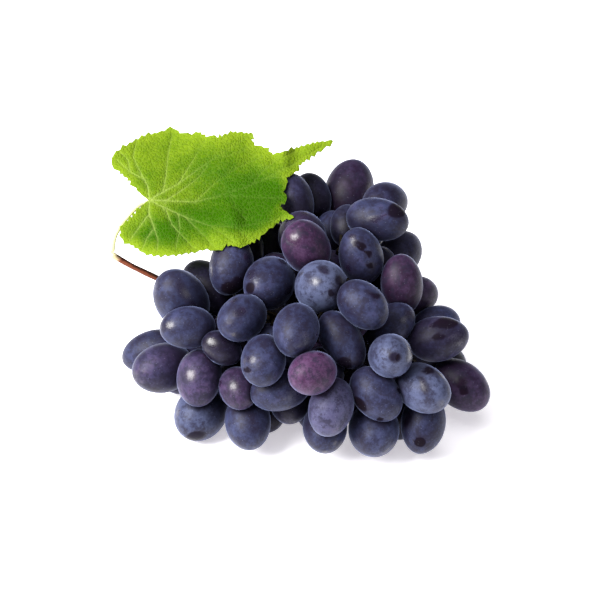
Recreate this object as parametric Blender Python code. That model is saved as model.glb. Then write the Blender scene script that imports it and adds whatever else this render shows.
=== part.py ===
"""A bunch of dark grapes lying on its side, with its stem and one leaf. +Z up, front towards -Y."""

import heapq
import math

import bmesh
import bpy
import numpy as np
from mathutils import Vector
from mathutils.geometry import delaunay_2d_cdt

# Real sizes, in millimetres unless a name says otherwise.
MM_PER_PIXEL = 0.42
MIDDLE_PIXEL = 300.0
VIEW_ELEVATION_DEG = 36.0
VIEW_RANGE = 850.0
VIEW_TARGET = np.array([0.0, 0.0, 47.0])
FLOOR_SINK = 0.6
ORIGIN_IN_LAYOUT = np.array([-1.21, 9.94, FLOOR_SINK])
BERRY_LENGTH_OVER_WIDTH = 1.34
BERRY_SQUEEZE = 1.5
SEEN_FACET_SWELL = 1.03
SEEN_SIDES = 8
SEEN_BANDS = 5
HIDDEN_FACET_SWELL = 1.06
HIDDEN_SIDES = 6
HIDDEN_BANDS = 4
HIDDEN_SQUEEZE = 2.0
HIDDEN_BERRIES = 48
HIDDEN_TRIES = 24000
HIDDEN_LOW = (-66.0, -46.0, 9.0)
HIDDEN_HIGH = (66.0, 76.0, 66.0)
NESTLE = 1.5
OUTER_PULL = 2.0
SLIDE_REACH = 15.0
TOUCH_LEAST = 1.1
HIDDEN_HALF_WIDTH = (8.4, 9.6)
STEM_ROOM = 0.39
RACHIS_RADIUS = 1.7
STEM_RADII = (1.35, 1.35, RACHIS_RADIUS, 1.1)
BRANCH_RADIUS = 1.2
PEDICEL_RADIUS = 0.7
PEDICEL_SHORT = 1.2
CROSSING_TOLL = 8.0
CLEAR_ENOUGH = 1.5
OUTSIDE_TOLL = 6.0
DISTANCE_TOLL = 0.05
WEB_CELL = 2.6
WEB_MARGIN = 6.0
WEB_STEP = 12.0
STALK_RADIUS = 0.85
STALK_BEFORE_STEM = 1.8
LEAF_THICKNESS = 0.8
LEAF_REST_HEIGHT = 70.0
LEAF_SLOPE_BACK = 0.158
LEAF_SLOPE_ACROSS = 0.08
LEAF_CLEARANCE = 1.5
FLOOR_SLAB = 0.5
SLIVER = 5e-7
FAR = 1000.0
SIGHT_CELL = 3.0
SIGHT_CELLS = 200
GAP_CELLS = 3
SEED = 11

# Colours, linear.
BERRY_COLOUR = (0.055, 0.062, 0.13, 1.0)
STEM_COLOUR = (0.10, 0.045, 0.02, 1.0)
STALK_COLOUR = (0.46, 0.52, 0.18, 1.0)
LEAF_COLOUR = (0.09, 0.25, 0.02, 1.0)

# The berries that show, from back to front as they overlap. Each row: name, middle across and down in
# pixels of the view, half length and half width in pixels, lean of the tip in degrees anticlockwise
# from the right, millimetres nearer than the bunch's rounded form, and 1 where the tip nods towards
# the viewer or -1 where it nods away.
SEEN_BERRIES = (
    ("top_dark", 311, 198, 26, 20, 100, 0, -1),
    ("top_by_leaf", 293, 202, 30, 21, 100, 0, -1),
    ("top_tall", 349, 191, 33, 24.5, 75, 0, -1),
    ("top_right_back", 385, 203, 24, 21, 20, 0, -1),
    ("green_shaded", 328, 238, 28, 18.5, 75, 0, -1),
    ("right_back", 400, 253, 24, 21, 45, 0, -1),
    ("right_edge", 416, 295, 23, 19, 10, 0, -1),
    ("right_sliver", 436, 325, 25, 19, 15, 0, -1),
    ("right_low_back", 447, 366, 20, 20, 0, 0, 1),
    ("top_gap", 347, 226, 22, 17, 90, -10, -1),
    ("side_gap", 381, 268, 22, 17, 90, -10, -1),
    ("right_gap", 424, 357, 20, 16, 350, -12, -1),
    ("low_gap", 399, 417, 24, 19.5, 270, 0, -1),
    ("left_back", 207, 287, 30, 23, 130, 0, -1),
    ("left_far", 152, 351, 31, 20, 200, 0, -1),
    ("under_leaf", 265, 242, 27, 21.5, 110, 0, -1),
    ("leaf_corner", 244, 250, 25, 20, 80, 0, -1),
    ("below_leaf", 231, 266, 30, 22, 260, 0, 1),
    ("behind_purple", 303, 238, 27, 24, 110, 0, 1),
    ("low_dark_left", 266, 411, 22, 20, 270, 0, 1),
    ("low_dark_mid", 290, 402, 22, 20, 270, 0, 1),
    ("left_upper", 181, 299, 32, 26.5, 120, 0, 1),
    ("left_lower", 163, 368, 31, 25, 195, 0, 1),
    ("left_mid", 188, 327.5, 28, 21.5, 185, 0, 1),
    ("right_tip", 461, 385, 32, 23, 322, 0, 1),
    ("top_right", 377.5, 219.5, 32.3, 22, 352, 0, 1),
    ("dull_right", 390, 326, 28, 20, 40, 0, 1),
    ("dark_upright", 402, 284, 30, 21.5, 95, 0, 1),
    ("right_big", 438, 338.5, 31, 22.5, 8, 0, 1),
    ("purple_upper", 306, 247, 28, 23.5, 120, 0, 1),
    ("upper_right", 361, 256, 28.5, 22.5, 105, 0, 1),
    ("blue_long", 342, 340, 32, 20.5, 302, 0, 1),
    ("low_behind", 317, 411, 25, 21.5, 300, 0, 1),
    ("low_mid", 325, 428, 25, 22, 270, 0, 1),
    ("wide_low", 280, 390, 30, 21, 190, 0, 1),
    ("front_low_right", 423, 423, 31, 22.5, 260, 0, 1),
    ("front_low", 374, 430, 27.5, 25.5, 270, 0, 1),
    ("front_low_mid", 248, 422, 28, 23, 275, 0, 1),
    ("front_low_left", 201, 413, 30, 25.5, 235, 0, 1),
    ("upper_left", 269, 283.5, 28, 25.5, 225, 0, 1),
    ("mid_left", 242, 318, 26, 22.5, 220, 0, 1),
    ("mid_right", 363, 305, 29, 22, 315, 0, 1),
    ("centre", 296, 330.5, 27.5, 23.3, 260, 0, 1),
    ("pink", 312.5, 373, 25, 22, 200, 0, 1),
    ("low_right", 376, 394, 31, 23, 310, 0, 1),
    ("small_purple", 238.5, 388.5, 22, 19, 290, 0, 1),
    ("left_front", 199, 378, 29.5, 22.5, 265, 0, 1),
    ("mid_low_left", 263.5, 360.5, 26.3, 22.5, 260, 0, 1),
    ("small_dark", 222, 348, 21.5, 16.5, 150, 0, 1),
    ("front_purple", 331, 407, 30.5, 22.5, 255, 0, 1),
    ("right_front", 422.7, 388, 29, 24, 327, 0, 1),
    ("round_right", 390.3, 355.7, 22.4, 22.3, 0, 0, 1),
    ("round_bright", 321, 286.5, 26.5, 26.4, 0, 0, 1),
)

# Ellipsoids, as centre and half axes: what the seen berries lie on, and what the hidden ones fill.
SEEN_FORM = (
    ((0, 0, 30), (60, 42, 30)),
    ((16, 30, 44), (36, 26, 26)),
    ((-38, 8, 34), (32, 26, 26)),
)
HIDDEN_FORM = (
    ((0, 8, 27), (58, 46, 27)),
    ((16, 40, 32), (38, 36, 34)),
    ((-34, 14, 30), (34, 34, 28)),
)

# The stem's way, from its free end at the left to the far right of the bunch.
STEM_WAY = (
    (-79, 13, 61),
    (-71, 12, 56),
    (-61, 12, 50),
    (-48, 11, 43),
    (-28, 9, 37),
    (0, 4, 33),
    (25, 0, 30),
    (46, -8, 26),
)
BUNCH_START = -50.0
BUNCH_MIDDLE = np.array([0.0, 4.0, 33.0])

# The leaf stalk: pixels across and down, and how far under the leaf's upper face it runs.
STALK_WAY = (
    (112.5, 252.5, 11.5),
    (114.3, 240.4, 6.5),
    (118, 231, 3.6),
    (128, 217, 3.0),
    (140, 205, 2.6),
    (149, 201.5, 2.2),
)

# The leaf's edge in pixels of the view, clockwise from the notch at its stalk.
LEAF_EDGE = (
    (149, 200.3), (139.8, 192.7), (130.6, 180.4), (119.9, 171.2), (112.2, 165.9), (111.5, 158.2),
    (119.9, 149.8), (132.1, 142.1), (144.4, 136), (156.6, 133), (173.5, 128.4), (179.6, 133),
    (191.8, 134.5), (198, 132.2), (205.6, 136.8), (217.9, 137.6), (233.2, 132.2), (253, 133.7),
    (250.8, 139), (254.6, 145.2), (263.8, 147.5), (273, 154.4), (288.3, 150.6), (303.6, 146),
    (318.9, 142.1), (333.4, 140.6), (326.5, 146), (317.4, 151.3), (306.6, 159), (299, 164.3),
    (295.9, 171.2), (286, 177.4), (286.7, 183.5), (282.9, 191.1), (286.7, 198.8), (278.3, 206.4),
    (293.7, 217.6), (280.6, 219.4), (269.9, 227.9), (260.7, 235.5), (248.5, 243.9), (236.2, 246.2),
    (227, 243.2), (217.9, 250), (207.1, 248.5), (191.8, 251.6), (173.5, 254.6), (158.2, 254.6),
    (144.4, 253.1), (133.7, 245.5), (123, 240.1), (120.7, 232.4), (123, 224.8), (132.1, 217.1),
    (139.8, 208), (145.9, 201.8),
)
LEAF_CELL = 15.0
# Waves of the blade: height in millimetres, how much of it runs across and down, length in pixels.
LEAF_WAVES = ((1.2, 1.0, -0.6, 17.0), (1.0, 0.5, 1.0, 13.0))
# How far round each point of the blade the berries under it lift it, in pixels, how near they lift it
# fully, and how fast the lift falls off beyond, in millimetres a pixel.
LEAF_LIFT_REACH = (0.0, 2.0, 5.0, 9.0, 13.0, 18.0, 24.0, 30.0)
LEAF_LIFT_FULL = 2.0
LEAF_LIFT_FALL = 0.25

ELEVATION = math.radians(VIEW_ELEVATION_DEG)
RIGHT = np.array([1.0, 0.0, 0.0])
UP = np.array([0.0, math.sin(ELEVATION), math.cos(ELEVATION)])
TOWARD = np.array([0.0, -math.cos(ELEVATION), math.sin(ELEVATION)])
EYE = VIEW_TARGET + TOWARD * VIEW_RANGE


def at_view(across, down, depth):
    """The point seen at this pixel, this many millimetres nearer than the plane through the target."""
    across, down, depth = (np.asarray(v, float)[..., None] for v in (across, down, depth))
    scale = MM_PER_PIXEL * (1 - depth / VIEW_RANGE)
    return (
        VIEW_TARGET
        + (across - MIDDLE_PIXEL) * scale * RIGHT
        + (MIDDLE_PIXEL - down) * scale * UP
        + depth * TOWARD
    )


def to_view(points):
    """Pixel across, pixel down and depth of points in the layout."""
    away = np.asarray(points, float) - VIEW_TARGET
    depth = away @ TOWARD
    scale = MM_PER_PIXEL * (1 - depth / VIEW_RANGE)
    return MIDDLE_PIXEL + away @ RIGHT / scale, MIDDLE_PIXEL - away @ UP / scale, depth


def form_depth(across, down):
    """Depth at which the line of sight through this pixel meets the bunch's rounded form."""
    start = at_view(across, down, 0.0)
    ray = (EYE - start) / np.linalg.norm(EYE - start)
    hits = []
    misses = []
    for centre, half in SEEN_FORM:
        o = (start - np.array(centre)) / half
        r = ray / np.array(half)
        a, b, c = r @ r, o @ r, o @ o - 1
        inside = b * b - a * c
        if inside > 0:
            hits.append((-b + math.sqrt(inside)) / a)
        misses.append((c - b * b / a, -b / a))
    return max(hits) if hits else min(misses)[1]


def beads(centre, axis, half_wide, half_long, count=5):
    """Each berry as a row of balls that touch it from inside: their middles and radii."""
    spread = np.maximum(half_long**2 - half_wide**2, 1e-9)
    steps = np.linspace(-1, 1, count) * (spread / half_long)[:, None]
    radii = half_wide[:, None] * np.sqrt(np.maximum(1 - steps**2 / spread[:, None], 1e-6))
    return centre[:, None, :] + axis[:, None, :] * steps[..., None], radii


def lowest(centre, axis, half_wide, half_long):
    tall = axis[:, 2] ** 2
    return centre[:, 2] - np.sqrt(half_wide**2 * (1 - tall) + half_long**2 * tall)


def seen_axes():
    """Axis of each seen berry, turned from the view as far as its outline is shortened."""
    axes = []
    ratios = []
    for _, _, _, half_long, half_wide, lean, _, nod in SEEN_BERRIES:
        shown = half_long / half_wide
        ratio = max(BERRY_LENGTH_OVER_WIDTH, shown * 1.01)
        across = math.sqrt((shown**2 - 1) / (ratio**2 - 1)) if shown > 1 else 0.0
        turn = math.radians(lean)
        flat = math.cos(turn) * RIGHT + math.sin(turn) * UP
        axes.append(across * flat + nod * math.sqrt(1 - across**2) * TOWARD)
        ratios.append(ratio)
    return np.array(axes), np.array(ratios)


def settle_seen(rounds=200):
    """Centre, axis, half width and half length of the seen berries. Each keeps its place in the view
    and slides along its line of sight until it only presses lightly on those before and behind it."""
    table = np.array([row[1:] for row in SEEN_BERRIES], float)
    across, down, wide, offset = table[:, 0], table[:, 1], table[:, 3], table[:, 5]
    axis, ratio = seen_axes()
    form = np.array([form_depth(x, y) for x, y in table[:, :2]])
    goal = form - wide * MM_PER_PIXEL * 0.5 + offset
    depth = goal.copy()
    back, front = np.triu_indices(len(table), 1)
    for step in range(rounds):
        centre = at_view(across, down, depth)
        half_wide = wide * MM_PER_PIXEL * (1 - depth / VIEW_RANGE)
        middles, radii = beads(centre, axis, half_wide, half_wide * ratio)
        apart = middles[front][:, :, None] - middles[back][:, None]
        reach = radii[front][:, :, None] + radii[back][:, None] - BERRY_SQUEEZE
        ray = EYE - centre[front]
        ray /= np.linalg.norm(ray, axis=1, keepdims=True)
        along = (apart * ray[:, None, None]).sum(-1)
        beside = (apart**2).sum(-1) - along**2
        meet = beside < reach**2
        need = np.sqrt(np.maximum(reach**2 - beside, 0))
        forward = np.where(meet, need - along, -1e9).max(axis=(1, 2))
        backward = np.where(meet, need + along, -1e9).max(axis=(1, 2))
        cover = np.where(meet, need / reach, 0).max(axis=(1, 2))
        in_order = (cover >= 0.75) | (forward <= backward)
        push = np.where(in_order, np.maximum(forward, 0), -np.maximum(backward, 0))
        move = np.zeros(len(depth))
        count = np.zeros(len(depth))
        np.add.at(move, front, push / 2)
        np.add.at(move, back, -push / 2)
        np.add.at(count, front, push != 0)
        np.add.at(count, back, push != 0)
        depth += 0.6 * move / np.sqrt(np.maximum(count, 1))
        depth += (goal - depth) * 0.03 * (1 - step / rounds)
        low = lowest(centre, axis, half_wide, half_wide * ratio)
        depth += 0.9 * np.maximum(-low, 0) / UP[1]
    for k in range(len(depth)):
        slide_to_touch(k, across, down, depth, axis, wide, ratio)
    centre = at_view(across, down, depth)
    half_wide = wide * MM_PER_PIXEL * (1 - depth / VIEW_RANGE)
    return centre, axis, half_wide, half_wide * ratio


def slide_to_touch(k, across, down, depth, axis, wide, ratio):
    """Slides a berry that touches no other along its line of sight, the shortest way to one."""
    for move in sorted(np.arange(-SLIDE_REACH, SLIDE_REACH, 0.25), key=abs):
        moved = depth.copy()
        moved[k] += move
        centre = at_view(across, down, moved)
        half_wide = wide * MM_PER_PIXEL * (1 - moved / VIEW_RANGE)
        middles, radii = beads(centre, axis, half_wide, half_wide * ratio)
        apart = np.linalg.norm(middles[k][:, None, None] - middles[None], axis=3)
        gap = (apart - radii[k][:, None, None] - radii[None]).min(axis=(0, 2))
        gap[k] = FAR
        low = lowest(centre, axis, half_wide, half_wide * ratio)[k]
        if gap.min() < -TOUCH_LEAST and low > -0.5:
            depth[k] = moved[k]
            return


def even_path(points, count):
    """This many evenly spaced points on a smooth curve through the given ones."""
    p = np.array(points, float)
    p = np.vstack([2 * p[0] - p[1], p, 2 * p[-1] - p[-2]])
    line = []
    for i in range(1, len(p) - 2):
        a, b, c, d = p[i - 1], p[i], p[i + 1], p[i + 2]
        for t in np.linspace(0, 1, 12, endpoint=False):
            square = (2 * a - 5 * b + 4 * c - d) * t**2
            cube = (3 * b - a - 3 * c + d) * t**3
            line.append(0.5 * (2 * b + (c - a) * t + square + cube))
    line = np.array(line + [p[-2]])
    run = np.r_[0, np.cumsum(np.linalg.norm(np.diff(line, axis=0), axis=1))]
    places = np.linspace(0, run[-1], count)
    return np.stack([np.interp(places, run, line[:, k]) for k in range(3)], axis=1)


def form_share(points, form):
    """How far out each point lies in the form: 0 in the middle of an ellipsoid and 1 on its surface."""
    shares = [np.linalg.norm((points - np.array(centre)) / half, axis=-1) for centre, half in form]
    return np.min(shares, axis=0)


def inside_form(points, form):
    return form_share(points, form) < 1


def inside_edge(across, down, edge):
    """Whether each pixel lies inside the closed outline."""
    found = np.zeros(np.shape(across), bool)
    for (x0, y0), (x1, y1) in zip(edge, edge[1:] + edge[:1]):
        crosses = (y0 > down) != (y1 > down)
        if y0 != y1:
            found ^= crosses & (across < x0 + (x1 - x0) * (down - y0) / (y1 - y0))
    return found


def covered_by(across, down):
    """Which of the seen berries cover each pixel."""
    table = np.array([row[1:] for row in SEEN_BERRIES], float)
    lean = np.radians(table[:, 4])
    dx = across[..., None] - table[:, 0]
    dy = table[:, 1] - down[..., None]
    along = dx * np.cos(lean) + dy * np.sin(lean)
    beside = dy * np.cos(lean) - dx * np.sin(lean)
    return (along / table[:, 2]) ** 2 + (beside / table[:, 3]) ** 2 < 1


def spread_mask(mask, cells):
    """The mask grown by a disc of this many cells."""
    grown = mask.copy()
    for i in range(-cells, cells + 1):
        for j in range(-cells, cells + 1):
            if i * i + j * j <= cells * cells:
                grown |= np.roll(mask, (i, j), axis=(0, 1))
    return grown


def out_of_sight(points, radii, seen):
    """Whether a ball at each point stays behind the seen berries or the leaf. It may show through the
    small gaps between them."""
    spots = (np.arange(SIGHT_CELLS) + 0.5) * SIGHT_CELL
    mask = covered_by(*np.meshgrid(spots, spots)).any(axis=-1)
    mask = ~spread_mask(~spread_mask(mask, GAP_CELLS), GAP_CELLS)
    across, down, depth = to_view(points)
    over = covered_by(across, down) & (depth[:, None] < to_view(seen[0])[2] - 6)
    under = inside_edge(across, down, LEAF_EDGE) & (depth < leaf_plane(across, down) - 8)
    hidden = over.any(axis=1) | under
    for turn in np.linspace(0, 2 * math.pi, 12, endpoint=False):
        rim = points + radii[:, None] * (math.cos(turn) * RIGHT + math.sin(turn) * UP)
        across, down, depth = to_view(rim)
        row = np.clip(down / SIGHT_CELL, 0, SIGHT_CELLS - 1).astype(int)
        column = np.clip(across / SIGHT_CELL, 0, SIGHT_CELLS - 1).astype(int)
        under = inside_edge(across, down, LEAF_EDGE) & (depth < leaf_plane(across, down) - 4)
        hidden &= mask[row, column] | under
    return hidden


def fill_hidden(seen):
    """Berries laid one by one behind and inside the seen ones, each where it nestles closest."""
    chance = np.random.default_rng(SEED)
    spots = chance.uniform(HIDDEN_LOW, HIDDEN_HIGH, (HIDDEN_TRIES, 3))
    half = chance.uniform(*HIDDEN_HALF_WIDTH, HIDDEN_TRIES)
    on_floor = HIDDEN_TRIES // 3
    spots[:on_floor, 2] = half[:on_floor] * 1.02
    outward = spots - np.array([0, 8, 24]) + chance.normal(0, 14, spots.shape)
    outward[:, 2] *= 0.6
    outward /= np.linalg.norm(outward, axis=1, keepdims=True)
    long = half * BERRY_LENGTH_OVER_WIDTH
    keep = inside_form(spots, HIDDEN_FORM) & (lowest(spots, outward, half, long) > -0.5)
    keep[keep] = out_of_sight(spots[keep], half[keep], seen)
    spots, half, outward, long = spots[keep], half[keep], outward[keep], long[keep]
    own, own_radii = beads(spots, outward, half, long)
    snug = np.exp(-np.abs(spots[:, 2] - half * 1.02) / NESTLE)
    snug += OUTER_PULL * form_share(spots, HIDDEN_FORM)
    free = np.ones(len(spots), bool)
    held = np.zeros(len(spots), bool)

    def gaps(middles, radii):
        apart = np.linalg.norm(own[:, :, None] - middles[None, None], axis=3)
        return (apart - own_radii[:, :, None] - radii[None, None]).min(axis=(1, 2))

    way = even_path(STEM_WAY, 40)
    free &= gaps(way, np.full(len(way), RACHIS_RADIUS + 0.6)) > 0
    for middles, radii in zip(*beads(*seen)):
        gap = gaps(middles, radii)
        free &= gap > -HIDDEN_SQUEEZE
        held |= gap < -TOUCH_LEAST
        snug += np.exp(-np.maximum(gap, 0) / NESTLE)
    chosen = []
    while len(chosen) < HIDDEN_BERRIES and (free & held).any():
        best = int(np.argmax(np.where(free & held, snug, -1)))
        chosen.append(best)
        gap = gaps(own[best], own_radii[best])
        free &= gap > -HIDDEN_SQUEEZE
        held |= gap < -TOUCH_LEAST
        snug += np.exp(-np.maximum(gap, 0) / NESTLE)
    return spots[chosen], outward[chosen], half[chosen], long[chosen]


def leaf_plane(across, down):
    """Depth of the leaf's mean plane on the line of sight through each pixel."""
    aside = (np.asarray(across, float) - MIDDLE_PIXEL) * MM_PER_PIXEL
    rise = (MIDDLE_PIXEL - np.asarray(down, float)) * MM_PER_PIXEL
    plane = LEAF_REST_HEIGHT + LEAF_SLOPE_BACK * rise * UP[1] + LEAF_SLOPE_ACROSS * aside
    height = VIEW_TARGET[2] + rise * UP[2]
    return (plane - height) / (TOWARD[2] - LEAF_SLOPE_BACK * TOWARD[1])


def berry_front(across, down, berries):
    """Depth of the nearest berry skin on the line of sight through each pixel, or far behind."""
    start = at_view(across, down, np.zeros(np.shape(across)))
    ray = EYE - start
    ray /= np.linalg.norm(ray, axis=-1, keepdims=True)
    nearest = np.full(np.shape(across), -FAR)
    for centre, axis, wide, long in zip(*berries):
        offset = start - centre
        oa, ra = offset @ axis, ray @ axis
        oo = offset - oa[..., None] * axis
        rr = ray - ra[..., None] * axis
        a = (rr**2).sum(-1) / wide**2 + ra**2 / long**2
        b = (oo * rr).sum(-1) / wide**2 + oa * ra / long**2
        c = (oo**2).sum(-1) / wide**2 + oa**2 / long**2 - 1
        inside = b * b - a * c
        hit = (-b + np.sqrt(np.maximum(inside, 0))) / a
        nearest = np.where(inside > 0, np.maximum(nearest, hit * (ray @ TOWARD)), nearest)
    return nearest


def leaf_depth(across, down, berries):
    """Depth of the leaf's upper face: its waved plane, lifted where a berry lies under it."""
    across = np.asarray(across, float)
    down = np.asarray(down, float)
    wave = sum(
        tall * np.sin((aside * across + below * down) / length)
        for tall, aside, below, length in LEAF_WAVES
    )
    lift = np.full(across.shape, -FAR)
    for turn in np.linspace(0, 2 * math.pi, 8, endpoint=False):
        for reach in LEAF_LIFT_REACH:
            x = across + reach * math.cos(turn)
            y = down + reach * math.sin(turn)
            near = inside_edge(x, y, LEAF_EDGE) | (reach <= LEAF_LIFT_FULL)
            front = berry_front(x, y, berries) - LEAF_LIFT_FALL * max(reach - LEAF_LIFT_FULL, 0)
            lift = np.maximum(lift, np.where(near, front, -FAR))
    lift += LEAF_THICKNESS + LEAF_CLEARANCE
    return np.maximum(leaf_plane(across, down) + wave, lift)


def cheapest_ways(toll, starts):
    """The next cell on the cheapest way to a start from every cell of the grid."""
    prices = np.full(toll.shape, np.inf).tolist()
    tolls = toll.tolist()
    parent = {}
    queue = []
    for key in starts:
        prices[key[0]][key[1]][key[2]] = 0.0
        parent[key] = None
        heapq.heappush(queue, (0.0, key))
    around = [
        (i, j, k, math.sqrt(i * i + j * j + k * k))
        for i in (-1, 0, 1)
        for j in (-1, 0, 1)
        for k in (-1, 0, 1)
        if 0 < i * i + j * j + k * k < 3
    ]
    nx, ny, nz = toll.shape
    while queue:
        cost, key = heapq.heappop(queue)
        x, y, z = key
        if cost > prices[x][y][z]:
            continue
        for i, j, k, length in around:
            u, v, w = x + i, y + j, z + k
            if 0 <= u < nx and 0 <= v < ny and 0 <= w < nz:
                total = cost + length * tolls[u][v][w]
                if total < prices[u][v][w]:
                    prices[u][v][w] = total
                    parent[(u, v, w)] = key
                    heapq.heappush(queue, (total, (u, v, w)))
    return parent


def stem_branches(berries):
    """Branches from the main stem to each berry's stalk end, led through the gaps between berries.
    Each is a list of points and the radius it has."""
    centre, axis, _, long = berries
    low = centre.min(axis=0) - WEB_MARGIN
    shape = np.ceil((centre.max(axis=0) + WEB_MARGIN - low) / WEB_CELL).astype(int)
    places = np.stack(np.meshgrid(*(np.arange(n) for n in shape), indexing="ij"), axis=-1)
    points = low + (places + 0.5) * WEB_CELL
    clear = np.full(tuple(shape), FAR)
    for middles, radii in zip(*beads(*berries)):
        for middle, radius in zip(middles, radii):
            clear = np.minimum(clear, np.linalg.norm(points - middle, axis=-1) - radius)
    toll = 1 + CROSSING_TOLL * np.clip(CLEAR_ENOUGH - clear, 0, None)
    bunch = SEEN_FORM + HIDDEN_FORM
    toll += np.where(inside_form(points.reshape(-1, 3), bunch).reshape(shape), 0, OUTSIDE_TOLL)
    toll += DISTANCE_TOLL * np.linalg.norm(points - BUNCH_MIDDLE, axis=-1)

    def cell_of(point):
        return tuple(np.clip(np.floor((point - low) / WEB_CELL).astype(int), 0, shape - 1).tolist())

    way = even_path(STEM_WAY, 60)
    roots = {cell_of(point): point for point in way if point[0] > BUNCH_START}
    parent = cheapest_ways(toll, roots)
    spot = {}
    children = {}
    tails = centre - axis * (long + PEDICEL_SHORT)[:, None]
    for number, tail in enumerate(tails):
        end = ("tail", number)
        spot[end] = tail
        key = cell_of(tail)
        children.setdefault(key, set()).add(end)
        while key not in spot:
            root = parent[key] is None
            spot[key] = roots[key] if root else low + (np.array(key) + 0.5) * WEB_CELL
            if root:
                break
            children.setdefault(parent[key], set()).add(key)
            key = parent[key]
    above = {child: key for key, group in children.items() for child in group}
    for _ in range(3):
        moved = {}
        for key, point in spot.items():
            if key in above and key in children:
                below = np.mean([spot[child] for child in sorted(children[key], key=str)], axis=0)
                moved[key] = 0.4 * point + 0.3 * spot[above[key]] + 0.3 * below
        spot.update(moved)
    load = {}

    def carried(key):
        if key not in load:
            load[key] = sum(map(carried, children[key])) if key in children else 1
        return load[key]

    branches = []
    waiting = [key for key in spot if key not in above]
    while waiting:
        start = waiting.pop()
        for child in sorted(children.get(start, ()), key=str):
            line = [spot[start], spot[child]]
            while len(children.get(child, ())) == 1:
                child = next(iter(children[child]))
                line.append(spot[child])
            waiting.append(child)
            radius = min(PEDICEL_RADIUS * carried(child) ** 0.3, BRANCH_RADIUS)
            branches.append((even_line(line, WEB_STEP), radius))
    return branches


def even_line(line, step):
    line = np.array(line)
    run = np.r_[0, np.cumsum(np.linalg.norm(np.diff(line, axis=0), axis=1))]
    places = np.linspace(0, run[-1], max(2, round(run[-1] / step) + 1))
    return np.stack([np.interp(places, run, line[:, k]) for k in range(3)], axis=1)


def to_metres(point):
    return Vector((np.asarray(point) - ORIGIN_IN_LAYOUT) * 0.001)


def finished(name, builder):
    bmesh.ops.triangulate(builder, faces=builder.faces)
    bmesh.ops.recalc_face_normals(builder, faces=builder.faces)
    mesh = bpy.data.meshes.new(name)
    builder.to_mesh(mesh)
    builder.free()
    return bpy.data.objects.new(name, mesh)


def berry_object(centre, axis, half_wide, half_long, seen):
    """An oval berry of flat facets, as much outside its true skin as inside it."""
    builder = bmesh.new()
    swell = SEEN_FACET_SWELL if seen else HIDDEN_FACET_SWELL
    sides, bands = (SEEN_SIDES, SEEN_BANDS) if seen else (HIDDEN_SIDES, HIDDEN_BANDS)
    bmesh.ops.create_uvsphere(builder, u_segments=sides, v_segments=bands, radius=1.0)
    turn = Vector((0, 0, 1)).rotation_difference(Vector(axis))
    wide, long = half_wide * swell, half_long * swell
    for vertex in builder.verts:
        x, y, z = vertex.co
        vertex.co = to_metres(centre + np.array(turn @ Vector((x * wide, y * wide, z * long))))
    return finished("berry", builder)


def tube_object(line, radii, sides, swell=0.0):
    """A bent rod with flat ends; swell makes it thicker and longer by that much all over."""
    line = np.array(line, float)
    along = np.gradient(line, axis=0)
    along /= np.linalg.norm(along, axis=1, keepdims=True)
    line[0] -= along[0] * swell
    line[-1] += along[-1] * swell
    builder = bmesh.new()
    side = np.cross(along[0], [0.3, 0.2, 1.0])
    rings = []
    for point, direction, radius in zip(line, along, radii):
        side = side - direction * (side @ direction)
        side /= np.linalg.norm(side)
        other = np.cross(direction, side)
        ring = []
        for turn in np.linspace(0, 2 * math.pi, sides, endpoint=False):
            offset = (radius + swell) * (math.cos(turn) * side + math.sin(turn) * other)
            ring.append(builder.verts.new(to_metres(point + offset)))
        rings.append(ring)
    for near, far in zip(rings, rings[1:]):
        for k in range(sides):
            builder.faces.new((near[k], near[k - 1], far[k - 1], far[k]))
    builder.faces.new(rings[0])
    builder.faces.new(rings[-1][::-1])
    return finished("rod", builder)


def fuse(base, others, operation):
    """Joins the others to the base, or cuts them from it, and removes them."""
    group = bpy.data.collections.new("group")
    bpy.context.scene.collection.children.link(group)
    group.hide_render = True
    for other in others:
        group.objects.link(other)
    modifier = base.modifiers.new("fuse", "BOOLEAN")
    modifier.operation = operation
    modifier.operand_type = "COLLECTION"
    modifier.collection = group
    modifier.solver = "MANIFOLD"
    bpy.context.view_layer.objects.active = base
    bpy.ops.object.modifier_apply(modifier=modifier.name)
    for other in others:
        bpy.data.objects.remove(other)
    bpy.data.collections.remove(group)


def outer_shell(obj):
    """Fills sealed hollows and drops slivers and loose scraps, so that one closed body stays."""
    builder = bmesh.new()
    builder.from_mesh(obj.data)
    bmesh.ops.triangulate(builder, faces=builder.faces)
    bmesh.ops.dissolve_degenerate(builder, dist=SLIVER, edges=builder.edges)
    bmesh.ops.triangulate(builder, faces=builder.faces)
    unseen = set(builder.verts)
    shells = []
    while unseen:
        found = set()
        edge = {unseen.pop()}
        while edge:
            found |= edge
            edge = {e.other_vert(v) for v in edge for e in v.link_edges} - found
        unseen -= found
        faces = {face for vertex in found for face in vertex.link_faces}
        volume = sum(
            face.verts[0].co.dot(face.verts[1].co.cross(face.verts[2].co)) / 6 for face in faces
        )
        shells.append((volume, list(found)))
    shells.sort(key=lambda shell: shell[0])
    for _, found in shells[:-1]:
        bmesh.ops.delete(builder, geom=found, context="VERTS")
    builder.to_mesh(obj.data)
    builder.free()


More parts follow.
